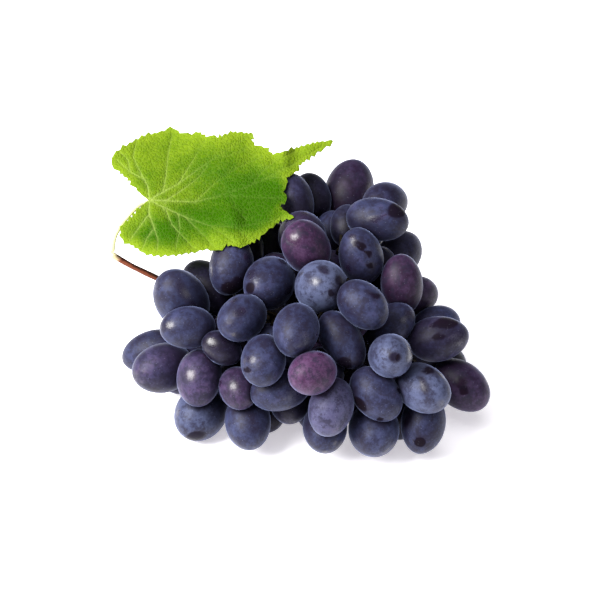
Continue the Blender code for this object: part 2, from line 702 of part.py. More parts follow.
def leaf_object(berries):
    """The blade: its edge and a grid of inner points, split into triangles alike on both faces."""
    points = list(LEAF_EDGE)
    edges = [(k, (k + 1) % len(points)) for k in range(len(points))]
    across = np.array([p[0] for p in points])
    down = np.array([p[1] for p in points])
    for row, y in enumerate(np.arange(down.min(), down.max(), LEAF_CELL * 0.8)):
        for x in np.arange(across.min() + LEAF_CELL * 0.5 * (row % 2), across.max(), LEAF_CELL):
            clear = np.hypot(across - x, down - y).min() > LEAF_CELL * 0.45
            if clear and inside_edge(x, y, LEAF_EDGE):
                points.append((x, y))
    flat = [Vector(p) for p in points]
    made = delaunay_2d_cdt(flat, edges, [], 1, 0.001)
    spots = np.array([tuple(p) for p in made[0]])
    upper = at_view(spots[:, 0], spots[:, 1], leaf_depth(spots[:, 0], spots[:, 1], berries))
    faces = [tuple(face) for face in made[2]]
    normals = np.zeros_like(upper)
    for face in faces:
        a, b, c = upper[list(face)]
        normal = np.cross(b - a, c - a)
        normal *= np.sign(normal[2])
        for corner in face:
            normals[corner] += normal
    normals /= np.linalg.norm(normals, axis=1, keepdims=True)
    lower = upper - normals * LEAF_THICKNESS
    builder = bmesh.new()
    tops = [builder.verts.new(to_metres(p)) for p in upper]
    bottoms = [builder.verts.new(to_metres(p)) for p in lower]
    sides = {}
    for face in faces:
        builder.faces.new([tops[k] for k in face])
        builder.faces.new([bottoms[k] for k in reversed(face)])
        for pair in zip(face, face[1:] + face[:1]):
            key = tuple(sorted(pair))
            sides[key] = None if key in sides else pair
    for pair in filter(None, sides.values()):
        a, b = pair
        builder.faces.new((tops[b], tops[a], bottoms[a]))
        builder.faces.new((tops[b], bottoms[a], bottoms[b]))
    return finished("leaf", builder)


def stalk_line(berries):
    """The leaf stalk's middle line, from the stem's end to the notch under the leaf."""
    rows = np.array(STALK_WAY, float)
    depth = leaf_depth(rows[:, 0], rows[:, 1], berries) - rows[:, 2]
    stem_end = to_view(np.array(STEM_WAY[0], float))[2]
    to_stem = stem_end + STALK_BEFORE_STEM - depth[0]
    depth += to_stem * np.linspace(1, 0, len(rows)) ** 4
    return even_path(at_view(rows[:, 0], rows[:, 1], depth), 9)


def material(name, colour, roughness):
    made = bpy.data.materials.new(name)
    made.use_nodes = True
    made.diffuse_color = colour
    shader = made.node_tree.nodes["Principled BSDF"]
    shader.inputs["Base Color"].default_value = colour
    shader.inputs["Roughness"].default_value = roughness
    shader.inputs["Metallic"].default_value = 0.0
    return made


def show(obj, name, colour, roughness, smooth):
    obj.name = name
    obj.data.name = name
    obj.data.materials.clear()
    obj.data.materials.append(material(name, colour, roughness))
    for face in obj.data.polygons:
        face.use_smooth = smooth


def stem_rods(branches, swell):
    """The main stem and its branches as rods, the main stem first."""
    way = even_path(STEM_WAY, 15)
    share = np.linspace(0, 1, len(way))
    thick = np.interp(share, (0, 0.18, 0.35, 1), STEM_RADII)
    rods = [tube_object(way, thick, 6, swell)]
    for line, radius in branches:
        sides = 4 if radius > PEDICEL_RADIUS * 1.5 else 3
        rods.append(tube_object(line, np.full(len(line), radius), sides, swell))
    bpy.context.scene.collection.objects.link(rods[0])
    return rods


def main():
    for obj in list(bpy.data.objects):
        bpy.data.objects.remove(obj)
    seen = settle_seen()
    hidden = fill_hidden(seen)
    berries = tuple(np.concatenate(pair) for pair in zip(seen, hidden))
    branches = stem_branches(berries)

    solid_berries = [berry_object(*row, True) for row in zip(*seen)]
    solid_berries += [berry_object(*row, False) for row in zip(*hidden)]
    bunch = solid_berries[0]
    bpy.context.scene.collection.objects.link(bunch)
    fuse(bunch, solid_berries[1:], "UNION")
    room = stem_rods(branches, STEM_ROOM)
    fuse(room[0], room[1:], "UNION")
    bpy.context.scene.collection.objects.unlink(room[0])
    slab = bmesh.new()
    bmesh.ops.create_cube(slab, size=FLOOR_SLAB)
    for vertex in slab.verts:
        vertex.co.z -= FLOOR_SLAB / 2
    fuse(bunch, [room[0], finished("floor", slab)], "DIFFERENCE")
    outer_shell(bunch)
    show(bunch, "berries", BERRY_COLOUR, 0.45, True)

    rods = stem_rods(branches, 0.0)
    stem = rods[0]
    fuse(stem, rods[1:], "UNION")
    outer_shell(stem)
    show(stem, "stem", STEM_COLOUR, 0.6, True)

    leaf = leaf_object(berries)
    bpy.context.scene.collection.objects.link(leaf)
    show(leaf, "leaf", LEAF_COLOUR, 0.5, True)

    line = stalk_line(berries)
    stalk = tube_object(line, np.full(len(line), STALK_RADIUS), 7)
    bpy.context.scene.collection.objects.link(stalk)
    show(stalk, "leaf_stalk", STALK_COLOUR, 0.5, True)


main()
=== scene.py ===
"""Finer pieces, finishes and a studio for a bunch of dark grapes with its stem and leaf."""

import heapq
import math

import bpy
import numpy as np
from mathutils import Matrix, Vector
from mathutils.geometry import delaunay_2d_cdt


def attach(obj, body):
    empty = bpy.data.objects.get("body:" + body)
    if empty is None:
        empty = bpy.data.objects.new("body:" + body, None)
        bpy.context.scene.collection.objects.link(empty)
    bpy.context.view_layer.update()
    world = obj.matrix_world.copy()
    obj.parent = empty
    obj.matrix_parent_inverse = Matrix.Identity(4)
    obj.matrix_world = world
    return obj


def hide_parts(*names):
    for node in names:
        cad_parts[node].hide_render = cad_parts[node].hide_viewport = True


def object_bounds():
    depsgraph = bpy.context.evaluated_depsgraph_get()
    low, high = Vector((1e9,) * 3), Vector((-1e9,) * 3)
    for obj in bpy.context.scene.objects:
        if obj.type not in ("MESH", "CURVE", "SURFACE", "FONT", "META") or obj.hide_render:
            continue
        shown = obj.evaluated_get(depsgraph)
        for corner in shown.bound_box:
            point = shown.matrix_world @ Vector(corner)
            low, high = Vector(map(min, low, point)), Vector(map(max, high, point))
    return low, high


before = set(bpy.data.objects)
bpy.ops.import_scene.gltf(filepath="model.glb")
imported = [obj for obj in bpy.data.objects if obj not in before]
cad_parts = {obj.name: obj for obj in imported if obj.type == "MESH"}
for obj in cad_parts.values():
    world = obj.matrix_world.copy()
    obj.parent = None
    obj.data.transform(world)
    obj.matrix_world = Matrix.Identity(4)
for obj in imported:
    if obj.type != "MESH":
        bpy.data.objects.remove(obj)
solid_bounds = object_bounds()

bl_info = {
    "name": "Bunch of Grapes",
    "version": (1, 0, 0),
    "blender": (4, 5, 0),
    "location": "View3D > Sidebar > Grapes",
    "description": "Models a bunch of dark grapes with its stem and leaf",
    "category": "Object",
}

# Numbers of the layout. Lengths are in millimetres unless a name says otherwise, and counts,
# pulls and tolls have no unit.
MM_PER_PIXEL = 0.42
MIDDLE_PIXEL = 300.0
VIEW_ELEVATION_DEG = 36.0
VIEW_RANGE = 850.0
VIEW_TARGET = np.array([0.0, 0.0, 47.0])
FLOOR_SINK = 0.6
ORIGIN_IN_LAYOUT = np.array([-1.21, 9.94, FLOOR_SINK])
BERRY_LENGTH_OVER_WIDTH = 1.34
BERRY_SQUEEZE = 1.5
HIDDEN_SQUEEZE = 2.0
HIDDEN_BERRIES = 48
HIDDEN_TRIES = 24000
HIDDEN_LOW = (-66.0, -46.0, 9.0)
HIDDEN_HIGH = (66.0, 76.0, 66.0)
NESTLE = 1.5
OUTER_PULL = 2.0
SLIDE_REACH = 15.0
TOUCH_LEAST = 1.1
HIDDEN_HALF_WIDTH = (8.4, 9.6)
RACHIS_RADIUS = 1.7
STEM_RADII = (1.35, 1.35, RACHIS_RADIUS, 1.1)
BRANCH_RADIUS = 1.2
PEDICEL_RADIUS = 0.7
PEDICEL_SHORT = 1.2
CROSSING_TOLL = 8.0
CLEAR_ENOUGH = 1.5
OUTSIDE_TOLL = 6.0
DISTANCE_TOLL = 0.05
WEB_CELL = 2.6
WEB_MARGIN = 6.0
STALK_RADIUS = 0.85
STALK_BEFORE_STEM = 1.8
SOLID_LEAF_THICKNESS = 0.8
LEAF_REST_HEIGHT = 70.0
LEAF_SLOPE_BACK = 0.158
LEAF_SLOPE_ACROSS = 0.08
LEAF_CLEARANCE = 1.5
FAR = 1000.0
SIGHT_CELL = 3.0
SIGHT_CELLS = 200
GAP_CELLS = 3
SEED = 11

# The berries that show, from back to front as they overlap. Each row: name, middle across and
# down in pixels of the view, half length and half width in pixels, lean of the tip in degrees
# anticlockwise from the right, millimetres nearer than the bunch's rounded form, and 1 where the
# tip nods towards the viewer or -1 where it nods away.
SEEN_BERRIES = (
    ("top_dark", 311, 198, 26, 20, 100, 0, -1),
    ("top_by_leaf", 293, 202, 30, 21, 100, 0, -1),
    ("top_tall", 349, 191, 33, 24.5, 75, 0, -1),
    ("top_right_back", 385, 203, 24, 21, 20, 0, -1),
    ("green_shaded", 328, 238, 28, 18.5, 75, 0, -1),
    ("right_back", 400, 253, 24, 21, 45, 0, -1),
    ("right_edge", 416, 295, 23, 19, 10, 0, -1),
    ("right_sliver", 436, 325, 25, 19, 15, 0, -1),
    ("right_low_back", 447, 366, 20, 20, 0, 0, 1),
    ("top_gap", 347, 226, 22, 17, 90, -10, -1),
    ("side_gap", 381, 268, 22, 17, 90, -10, -1),
    ("right_gap", 424, 357, 20, 16, 350, -12, -1),
    ("low_gap", 399, 417, 24, 19.5, 270, 0, -1),
    ("left_back", 207, 287, 30, 23, 130, 0, -1),
    ("left_far", 152, 351, 31, 20, 200, 0, -1),
    ("under_leaf", 265, 242, 27, 21.5, 110, 0, -1),
    ("leaf_corner", 244, 250, 25, 20, 80, 0, -1),
    ("below_leaf", 231, 266, 30, 22, 260, 0, 1),
    ("behind_purple", 303, 238, 27, 24, 110, 0, 1),
    ("low_dark_left", 266, 411, 22, 20, 270, 0, 1),
    ("low_dark_mid", 290, 402, 22, 20, 270, 0, 1),
    ("left_upper", 181, 299, 32, 26.5, 120, 0, 1),
    ("left_lower", 163, 368, 31, 25, 195, 0, 1),
    ("left_mid", 188, 327.5, 28, 21.5, 185, 0, 1),
    ("right_tip", 461, 385, 32, 23, 322, 0, 1),
    ("top_right", 377.5, 219.5, 32.3, 22, 352, 0, 1),
    ("dull_right", 390, 326, 28, 20, 40, 0, 1),
    ("dark_upright", 402, 284, 30, 21.5, 95, 0, 1),
    ("right_big", 438, 338.5, 31, 22.5, 8, 0, 1),
    ("purple_upper", 306, 247, 28, 23.5, 120, 0, 1),
    ("upper_right", 361, 256, 28.5, 22.5, 105, 0, 1),
    ("blue_long", 342, 340, 32, 20.5, 302, 0, 1),
    ("low_behind", 317, 411, 25, 21.5, 300, 0, 1),
    ("low_mid", 325, 428, 25, 22, 270, 0, 1),
    ("wide_low", 280, 390, 30, 21, 190, 0, 1),
    ("front_low_right", 423, 423, 31, 22.5, 260, 0, 1),
    ("front_low", 374, 430, 27.5, 25.5, 270, 0, 1),
    ("front_low_mid", 248, 422, 28, 23, 275, 0, 1),
    ("front_low_left", 201, 413, 30, 25.5, 235, 0, 1),
    ("upper_left", 269, 283.5, 28, 25.5, 225, 0, 1),
    ("mid_left", 242, 318, 26, 22.5, 220, 0, 1),
    ("mid_right", 363, 305, 29, 22, 315, 0, 1),
    ("centre", 296, 330.5, 27.5, 23.3, 260, 0, 1),
    ("pink", 312.5, 373, 25, 22, 200, 0, 1),
    ("low_right", 376, 394, 31, 23, 310, 0, 1),
    ("small_purple", 238.5, 388.5, 22, 19, 290, 0, 1),
    ("left_front", 199, 378, 29.5, 22.5, 265, 0, 1),
    ("mid_low_left", 263.5, 360.5, 26.3, 22.5, 260, 0, 1),
    ("small_dark", 222, 348, 21.5, 16.5, 150, 0, 1),
    ("front_purple", 331, 407, 30.5, 22.5, 255, 0, 1),
    ("right_front", 422.7, 388, 29, 24, 327, 0, 1),
    ("round_right", 390.3, 355.7, 22.4, 22.3, 0, 0, 1),
    ("round_bright", 321, 286.5, 26.5, 26.4, 0, 0, 1),
)

# Ellipsoids, as centre and half axes: what the seen berries lie on, and what the hidden ones fill.
SEEN_FORM = (
    ((0, 0, 30), (60, 42, 30)),
    ((16, 30, 44), (36, 26, 26)),
    ((-38, 8, 34), (32, 26, 26)),
)
HIDDEN_FORM = (
    ((0, 8, 27), (58, 46, 27)),
    ((16, 40, 32), (38, 36, 34)),
    ((-34, 14, 30), (34, 34, 28)),
)

# The stem's way, from its free end at the left to the far right of the bunch.
STEM_WAY = (
    (-79, 13, 61),
    (-71, 12, 56),
    (-61, 12, 50),
    (-48, 11, 43),
    (-28, 9, 37),
    (0, 4, 33),
    (25, 0, 30),
    (46, -8, 26),
)
BUNCH_START = -50.0
BUNCH_MIDDLE = np.array([0.0, 4.0, 33.0])

# The leaf stalk: pixels across and down, and how far under the leaf's upper face it runs.
STALK_WAY = (
    (112.5, 252.5, 11.5),
    (114.3, 240.4, 6.5),
    (118, 231, 3.6),
    (128, 217, 3.0),
    (140, 205, 2.6),
    (149, 201.5, 2.2),
)

# The leaf's edge in pixels of the view, clockwise from the notch at its stalk.
LEAF_EDGE = (
    (149, 200.3), (139.8, 192.7), (130.6, 180.4), (119.9, 171.2), (112.2, 165.9), (111.5, 158.2),
    (119.9, 149.8), (132.1, 142.1), (144.4, 136), (156.6, 133), (173.5, 128.4), (179.6, 133),
    (191.8, 134.5), (198, 132.2), (205.6, 136.8), (217.9, 137.6), (233.2, 132.2), (253, 133.7),
    (250.8, 139), (254.6, 145.2), (263.8, 147.5), (273, 154.4), (288.3, 150.6), (303.6, 146),
    (318.9, 142.1), (333.4, 140.6), (326.5, 146), (317.4, 151.3), (306.6, 159), (299, 164.3),
    (295.9, 171.2), (286, 177.4), (286.7, 183.5), (282.9, 191.1), (286.7, 198.8), (278.3, 206.4),
    (293.7, 217.6), (280.6, 219.4), (269.9, 227.9), (260.7, 235.5), (248.5, 243.9), (236.2, 246.2),
    (227, 243.2), (217.9, 250), (207.1, 248.5), (191.8, 251.6), (173.5, 254.6), (158.2, 254.6),
    (144.4, 253.1), (133.7, 245.5), (123, 240.1), (120.7, 232.4), (123, 224.8), (132.1, 217.1),
    (139.8, 208), (145.9, 201.8),
)
# Waves of the blade: height in millimetres, how much of it runs across and down, length in pixels.
LEAF_WAVES = ((1.2, 1.0, -0.6, 17.0), (1.0, 0.5, 1.0, 13.0))
# How far round each point of the blade the berries under it lift it, in pixels, how near they
# lift it fully, and how fast the lift falls off beyond, in millimetres a pixel.
LEAF_LIFT_REACH = (0.0, 2.0, 5.0, 9.0, 13.0, 18.0, 24.0, 30.0)
LEAF_LIFT_FULL = 2.0
LEAF_LIFT_FALL = 0.25

ELEVATION = math.radians(VIEW_ELEVATION_DEG)
RIGHT = np.array([1.0, 0.0, 0.0])
UP = np.array([0.0, math.sin(ELEVATION), math.cos(ELEVATION)])
TOWARD = np.array([0.0, -math.cos(ELEVATION), math.sin(ELEVATION)])
EYE = VIEW_TARGET + TOWARD * VIEW_RANGE


def at_view(across, down, depth):
    """The point seen at this pixel, this many millimetres in front of the target's plane."""
    across, down, depth = (np.asarray(v, float)[..., None] for v in (across, down, depth))
    scale = MM_PER_PIXEL * (1 - depth / VIEW_RANGE)
    return (
        VIEW_TARGET
        + (across - MIDDLE_PIXEL) * scale * RIGHT
        + (MIDDLE_PIXEL - down) * scale * UP
        + depth * TOWARD
    )


def to_view(points):
    """Pixel across, pixel down and depth of points in the layout."""
    away = np.asarray(points, float) - VIEW_TARGET
    depth = away @ TOWARD
    scale = MM_PER_PIXEL * (1 - depth / VIEW_RANGE)
    return MIDDLE_PIXEL + away @ RIGHT / scale, MIDDLE_PIXEL - away @ UP / scale, depth


def form_depth(across, down):
    """Depth at which the line of sight through this pixel meets the bunch's rounded form."""
    start = at_view(across, down, 0.0)
    ray = (EYE - start) / np.linalg.norm(EYE - start)
    hits = []
    misses = []
    for centre, half in SEEN_FORM:
        o = (start - np.array(centre)) / half
        r = ray / np.array(half)
        a, b, c = r @ r, o @ r, o @ o - 1
        inside = b * b - a * c
        if inside > 0:
            hits.append((-b + math.sqrt(inside)) / a)
        misses.append((c - b * b / a, -b / a))
    return max(hits) if hits else min(misses)[1]


def beads(centre, axis, half_wide, half_long, count=5):
    """Each berry as a row of balls that touch it from inside: their middles and radii."""
    spread = np.maximum(half_long**2 - half_wide**2, 1e-9)
    steps = np.linspace(-1, 1, count) * (spread / half_long)[:, None]
    radii = half_wide[:, None] * np.sqrt(np.maximum(1 - steps**2 / spread[:, None], 1e-6))
    return centre[:, None, :] + axis[:, None, :] * steps[..., None], radii


def lowest(centre, axis, half_wide, half_long):
    """Height of each berry's lowest point."""
    tall = axis[:, 2] ** 2
    return centre[:, 2] - np.sqrt(half_wide**2 * (1 - tall) + half_long**2 * tall)


def seen_axes():
    """Axis of each seen berry, turned from the view as far as its outline is shortened."""
    axes = []
    ratios = []
    for _, _, _, half_long, half_wide, lean, _, nod in SEEN_BERRIES:
        shown = half_long / half_wide
        ratio = max(BERRY_LENGTH_OVER_WIDTH, shown * 1.01)
        across = math.sqrt((shown**2 - 1) / (ratio**2 - 1)) if shown > 1 else 0.0
        turn = math.radians(lean)
        flat = math.cos(turn) * RIGHT + math.sin(turn) * UP
        axes.append(across * flat + nod * math.sqrt(1 - across**2) * TOWARD)
        ratios.append(ratio)
    return np.array(axes), np.array(ratios)


def settle_seen(rounds=200):
    """Centre, axis, half width and half length of the seen berries. Each keeps its place in the
    view and slides along its line of sight until it only presses lightly on its neighbours."""
    table = np.array([row[1:] for row in SEEN_BERRIES], float)
    across, down, wide, offset = table[:, 0], table[:, 1], table[:, 3], table[:, 5]
    axis, ratio = seen_axes()
    form = np.array([form_depth(x, y) for x, y in table[:, :2]])
    goal = form - wide * MM_PER_PIXEL * 0.5 + offset
    depth = goal.copy()
    back, front = np.triu_indices(len(table), 1)
    for step in range(rounds):
        centre = at_view(across, down, depth)
        half_wide = wide * MM_PER_PIXEL * (1 - depth / VIEW_RANGE)
        middles, radii = beads(centre, axis, half_wide, half_wide * ratio)
        apart = middles[front][:, :, None] - middles[back][:, None]
        reach = radii[front][:, :, None] + radii[back][:, None] - BERRY_SQUEEZE
        ray = EYE - centre[front]
        ray /= np.linalg.norm(ray, axis=1, keepdims=True)
        along = (apart * ray[:, None, None]).sum(-1)
        beside = (apart**2).sum(-1) - along**2
        meet = beside < reach**2
        need = np.sqrt(np.maximum(reach**2 - beside, 0))
        forward = np.where(meet, need - along, -1e9).max(axis=(1, 2))
        backward = np.where(meet, need + along, -1e9).max(axis=(1, 2))
        cover = np.where(meet, need / reach, 0).max(axis=(1, 2))
        in_order = (cover >= 0.75) | (forward <= backward)
        push = np.where(in_order, np.maximum(forward, 0), -np.maximum(backward, 0))
        move = np.zeros(len(depth))
        count = np.zeros(len(depth))
        np.add.at(move, front, push / 2)
        np.add.at(move, back, -push / 2)
        np.add.at(count, front, push != 0)
        np.add.at(count, back, push != 0)
        depth += 0.6 * move / np.sqrt(np.maximum(count, 1))
        depth += (goal - depth) * 0.03 * (1 - step / rounds)
        low = lowest(centre, axis, half_wide, half_wide * ratio)
        depth += 0.9 * np.maximum(-low, 0) / UP[1]
    for k in range(len(depth)):
        slide_to_touch(k, across, down, depth, axis, wide, ratio)
    centre = at_view(across, down, depth)
    half_wide = wide * MM_PER_PIXEL * (1 - depth / VIEW_RANGE)
    return centre, axis, half_wide, half_wide * ratio


def slide_to_touch(k, across, down, depth, axis, wide, ratio):
    """Slides a berry that touches no other along its line of sight, the shortest way to one."""
    for move in sorted(np.arange(-SLIDE_REACH, SLIDE_REACH, 0.25), key=abs):
        moved = depth.copy()
        moved[k] += move
        centre = at_view(across, down, moved)
        half_wide = wide * MM_PER_PIXEL * (1 - moved / VIEW_RANGE)
        middles, radii = beads(centre, axis, half_wide, half_wide * ratio)
        apart = np.linalg.norm(middles[k][:, None, None] - middles[None], axis=3)
        gap = (apart - radii[k][:, None, None] - radii[None]).min(axis=(0, 2))
        gap[k] = FAR
        low = lowest(centre, axis, half_wide, half_wide * ratio)[k]
        if gap.min() < -TOUCH_LEAST and low > -0.5:
            depth[k] = moved[k]
            return


def even_path(points, count):
    """This many evenly spaced points on a smooth curve through the given ones."""
    p = np.array(points, float)
    p = np.vstack([2 * p[0] - p[1], p, 2 * p[-1] - p[-2]])
    line = []
    for i in range(1, len(p) - 2):
        a, b, c, d = p[i - 1], p[i], p[i + 1], p[i + 2]
        for t in np.linspace(0, 1, 12, endpoint=False):
            square = (2 * a - 5 * b + 4 * c - d) * t**2
            cube = (3 * b - a - 3 * c + d) * t**3
            line.append(0.5 * (2 * b + (c - a) * t + square + cube))
    line = np.array(line + [p[-2]])
    run = np.r_[0, np.cumsum(np.linalg.norm(np.diff(line, axis=0), axis=1))]
    places = np.linspace(0, run[-1], count)
    return np.stack([np.interp(places, run, line[:, k]) for k in range(3)], axis=1)


def form_share(points, form):
    """How far out each point lies: 0 in the middle of an ellipsoid and 1 on its surface."""
    shares = [np.linalg.norm((points - np.array(centre)) / half, axis=-1) for centre, half in form]
    return np.min(shares, axis=0)


def inside_form(points, form):
    return form_share(points, form) < 1


def inside_edge(across, down, edge):
    """Whether each pixel lies inside the closed outline."""
    found = np.zeros(np.shape(across), bool)
    for (x0, y0), (x1, y1) in zip(edge, edge[1:] + edge[:1]):
        crosses = (y0 > down) != (y1 > down)
        if y0 != y1:
            found ^= crosses & (across < x0 + (x1 - x0) * (down - y0) / (y1 - y0))
    return found


def covered_by(across, down):
    """Which of the seen berries cover each pixel."""
    table = np.array([row[1:] for row in SEEN_BERRIES], float)
    lean = np.radians(table[:, 4])
    dx = across[..., None] - table[:, 0]
    dy = table[:, 1] - down[..., None]
    along = dx * np.cos(lean) + dy * np.sin(lean)
    beside = dy * np.cos(lean) - dx * np.sin(lean)
    return (along / table[:, 2]) ** 2 + (beside / table[:, 3]) ** 2 < 1


def spread_mask(mask, cells):
    """The mask grown by a disc of this many cells."""
    grown = mask.copy()
    for i in range(-cells, cells + 1):
        for j in range(-cells, cells + 1):
            if i * i + j * j <= cells * cells:
                grown |= np.roll(mask, (i, j), axis=(0, 1))
    return grown


def out_of_sight(points, radii, seen):
    """Whether a ball at each point stays behind the seen berries or the leaf. It may show through
    the small gaps between them."""
    spots = (np.arange(SIGHT_CELLS) + 0.5) * SIGHT_CELL
    mask = covered_by(*np.meshgrid(spots, spots)).any(axis=-1)
    mask = ~spread_mask(~spread_mask(mask, GAP_CELLS), GAP_CELLS)
    across, down, depth = to_view(points)
    over = covered_by(across, down) & (depth[:, None] < to_view(seen[0])[2] - 6)
    under = inside_edge(across, down, LEAF_EDGE) & (depth < leaf_plane(across, down) - 8)
    hidden = over.any(axis=1) | under
    for turn in np.linspace(0, 2 * math.pi, 12, endpoint=False):
        rim = points + radii[:, None] * (math.cos(turn) * RIGHT + math.sin(turn) * UP)
        across, down, depth = to_view(rim)
        row = np.clip(down / SIGHT_CELL, 0, SIGHT_CELLS - 1).astype(int)
        column = np.clip(across / SIGHT_CELL, 0, SIGHT_CELLS - 1).astype(int)
        under = inside_edge(across, down, LEAF_EDGE) & (depth < leaf_plane(across, down) - 4)
        hidden &= mask[row, column] | under
    return hidden


def fill_hidden(seen):
    """Berries laid one by one behind and inside the seen ones, each where it nestles closest."""
    chance = np.random.default_rng(SEED)
    spots = chance.uniform(HIDDEN_LOW, HIDDEN_HIGH, (HIDDEN_TRIES, 3))
    half = chance.uniform(*HIDDEN_HALF_WIDTH, HIDDEN_TRIES)
    on_floor = HIDDEN_TRIES // 3
    spots[:on_floor, 2] = half[:on_floor] * 1.02
    outward = spots - np.array([0, 8, 24]) + chance.normal(0, 14, spots.shape)
    outward[:, 2] *= 0.6
    outward /= np.linalg.norm(outward, axis=1, keepdims=True)
    long = half * BERRY_LENGTH_OVER_WIDTH
    keep = inside_form(spots, HIDDEN_FORM) & (lowest(spots, outward, half, long) > -0.5)
    keep[keep] = out_of_sight(spots[keep], half[keep], seen)
    spots, half, outward, long = spots[keep], half[keep], outward[keep], long[keep]
    own, own_radii = beads(spots, outward, half, long)
    snug = np.exp(-np.abs(spots[:, 2] - half * 1.02) / NESTLE)
    snug += OUTER_PULL * form_share(spots, HIDDEN_FORM)
    free = np.ones(len(spots), bool)
    held = np.zeros(len(spots), bool)

    def gaps(middles, radii):
        apart = np.linalg.norm(own[:, :, None] - middles[None, None], axis=3)
        return (apart - own_radii[:, :, None] - radii[None, None]).min(axis=(1, 2))

    way = even_path(STEM_WAY, 40)
    free &= gaps(way, np.full(len(way), RACHIS_RADIUS + 0.6)) > 0
    for middles, radii in zip(*beads(*seen)):
        gap = gaps(middles, radii)
        free &= gap > -HIDDEN_SQUEEZE
        held |= gap < -TOUCH_LEAST
        snug += np.exp(-np.maximum(gap, 0) / NESTLE)
    chosen = []
    while len(chosen) < HIDDEN_BERRIES and (free & held).any():
        best = int(np.argmax(np.where(free & held, snug, -1)))
        chosen.append(best)
        gap = gaps(own[best], own_radii[best])
        free &= gap > -HIDDEN_SQUEEZE
        held |= gap < -TOUCH_LEAST
        snug += np.exp(-np.maximum(gap, 0) / NESTLE)
    return spots[chosen], outward[chosen], half[chosen], long[chosen]


def leaf_plane(across, down):
    """Depth of the leaf's mean plane on the line of sight through each pixel."""
    aside = (np.asarray(across, float) - MIDDLE_PIXEL) * MM_PER_PIXEL
    rise = (MIDDLE_PIXEL - np.asarray(down, float)) * MM_PER_PIXEL
    plane = LEAF_REST_HEIGHT + LEAF_SLOPE_BACK * rise * UP[1] + LEAF_SLOPE_ACROSS * aside
    height = VIEW_TARGET[2] + rise * UP[2]
    return (plane - height) / (TOWARD[2] - LEAF_SLOPE_BACK * TOWARD[1])


def berry_front(across, down, berries):
    """Depth of the nearest berry skin on the line of sight through each pixel, or far behind."""
    start = at_view(across, down, np.zeros(np.shape(across)))
    ray = EYE - start
    ray /= np.linalg.norm(ray, axis=-1, keepdims=True)
    nearest = np.full(np.shape(across), -FAR)
    for centre, axis, wide, long in zip(*berries):
        offset = start - centre
        oa, ra = offset @ axis, ray @ axis
        oo = offset - oa[..., None] * axis
        rr = ray - ra[..., None] * axis
        a = (rr**2).sum(-1) / wide**2 + ra**2 / long**2
        b = (oo * rr).sum(-1) / wide**2 + oa * ra / long**2
        c = (oo**2).sum(-1) / wide**2 + oa**2 / long**2 - 1
        inside = b * b - a * c
        hit = (-b + np.sqrt(np.maximum(inside, 0))) / a
        nearest = np.where(inside > 0, np.maximum(nearest, hit * (ray @ TOWARD)), nearest)
    return nearest


def leaf_depth(across, down, berries):
    """Depth of the leaf's upper face: its waved plane, lifted where a berry lies under it."""
    across = np.asarray(across, float)
    down = np.asarray(down, float)
    wave = sum(
        tall * np.sin((aside * across + below * down) / length)
        for tall, aside, below, length in LEAF_WAVES
    )
    lift = np.full(across.shape, -FAR)
    for turn in np.linspace(0, 2 * math.pi, 8, endpoint=False):
        for reach in LEAF_LIFT_REACH:
            x = across + reach * math.cos(turn)
            y = down + reach * math.sin(turn)
            near = inside_edge(x, y, LEAF_EDGE) | (reach <= LEAF_LIFT_FULL)
            front = berry_front(x, y, berries) - LEAF_LIFT_FALL * max(reach - LEAF_LIFT_FULL, 0)
            lift = np.maximum(lift, np.where(near, front, -FAR))
    lift += SOLID_LEAF_THICKNESS + LEAF_CLEARANCE
    return np.maximum(leaf_plane(across, down) + wave, lift)


def cheapest_ways(toll, starts):
    """The next cell on the cheapest way to a start from every cell of the grid."""
    prices = np.full(toll.shape, np.inf).tolist()
    tolls = toll.tolist()
    parent = {}
    queue = []
    for key in starts:
        prices[key[0]][key[1]][key[2]] = 0.0
        parent[key] = None
        heapq.heappush(queue, (0.0, key))
    around = [
        (i, j, k, math.sqrt(i * i + j * j + k * k))
        for i in (-1, 0, 1)
        for j in (-1, 0, 1)
        for k in (-1, 0, 1)
        if 0 < i * i + j * j + k * k < 3
    ]
    nx, ny, nz = toll.shape
    while queue:
        cost, key = heapq.heappop(queue)
        x, y, z = key
        if cost > prices[x][y][z]:
            continue
        for i, j, k, length in around:
            u, v, w = x + i, y + j, z + k
            if 0 <= u < nx and 0 <= v < ny and 0 <= w < nz:
                total = cost + length * tolls[u][v][w]
                if total < prices[u][v][w]:
                    prices[u][v][w] = total
                    parent[(u, v, w)] = key
                    heapq.heappush(queue, (total, (u, v, w)))
    return parent


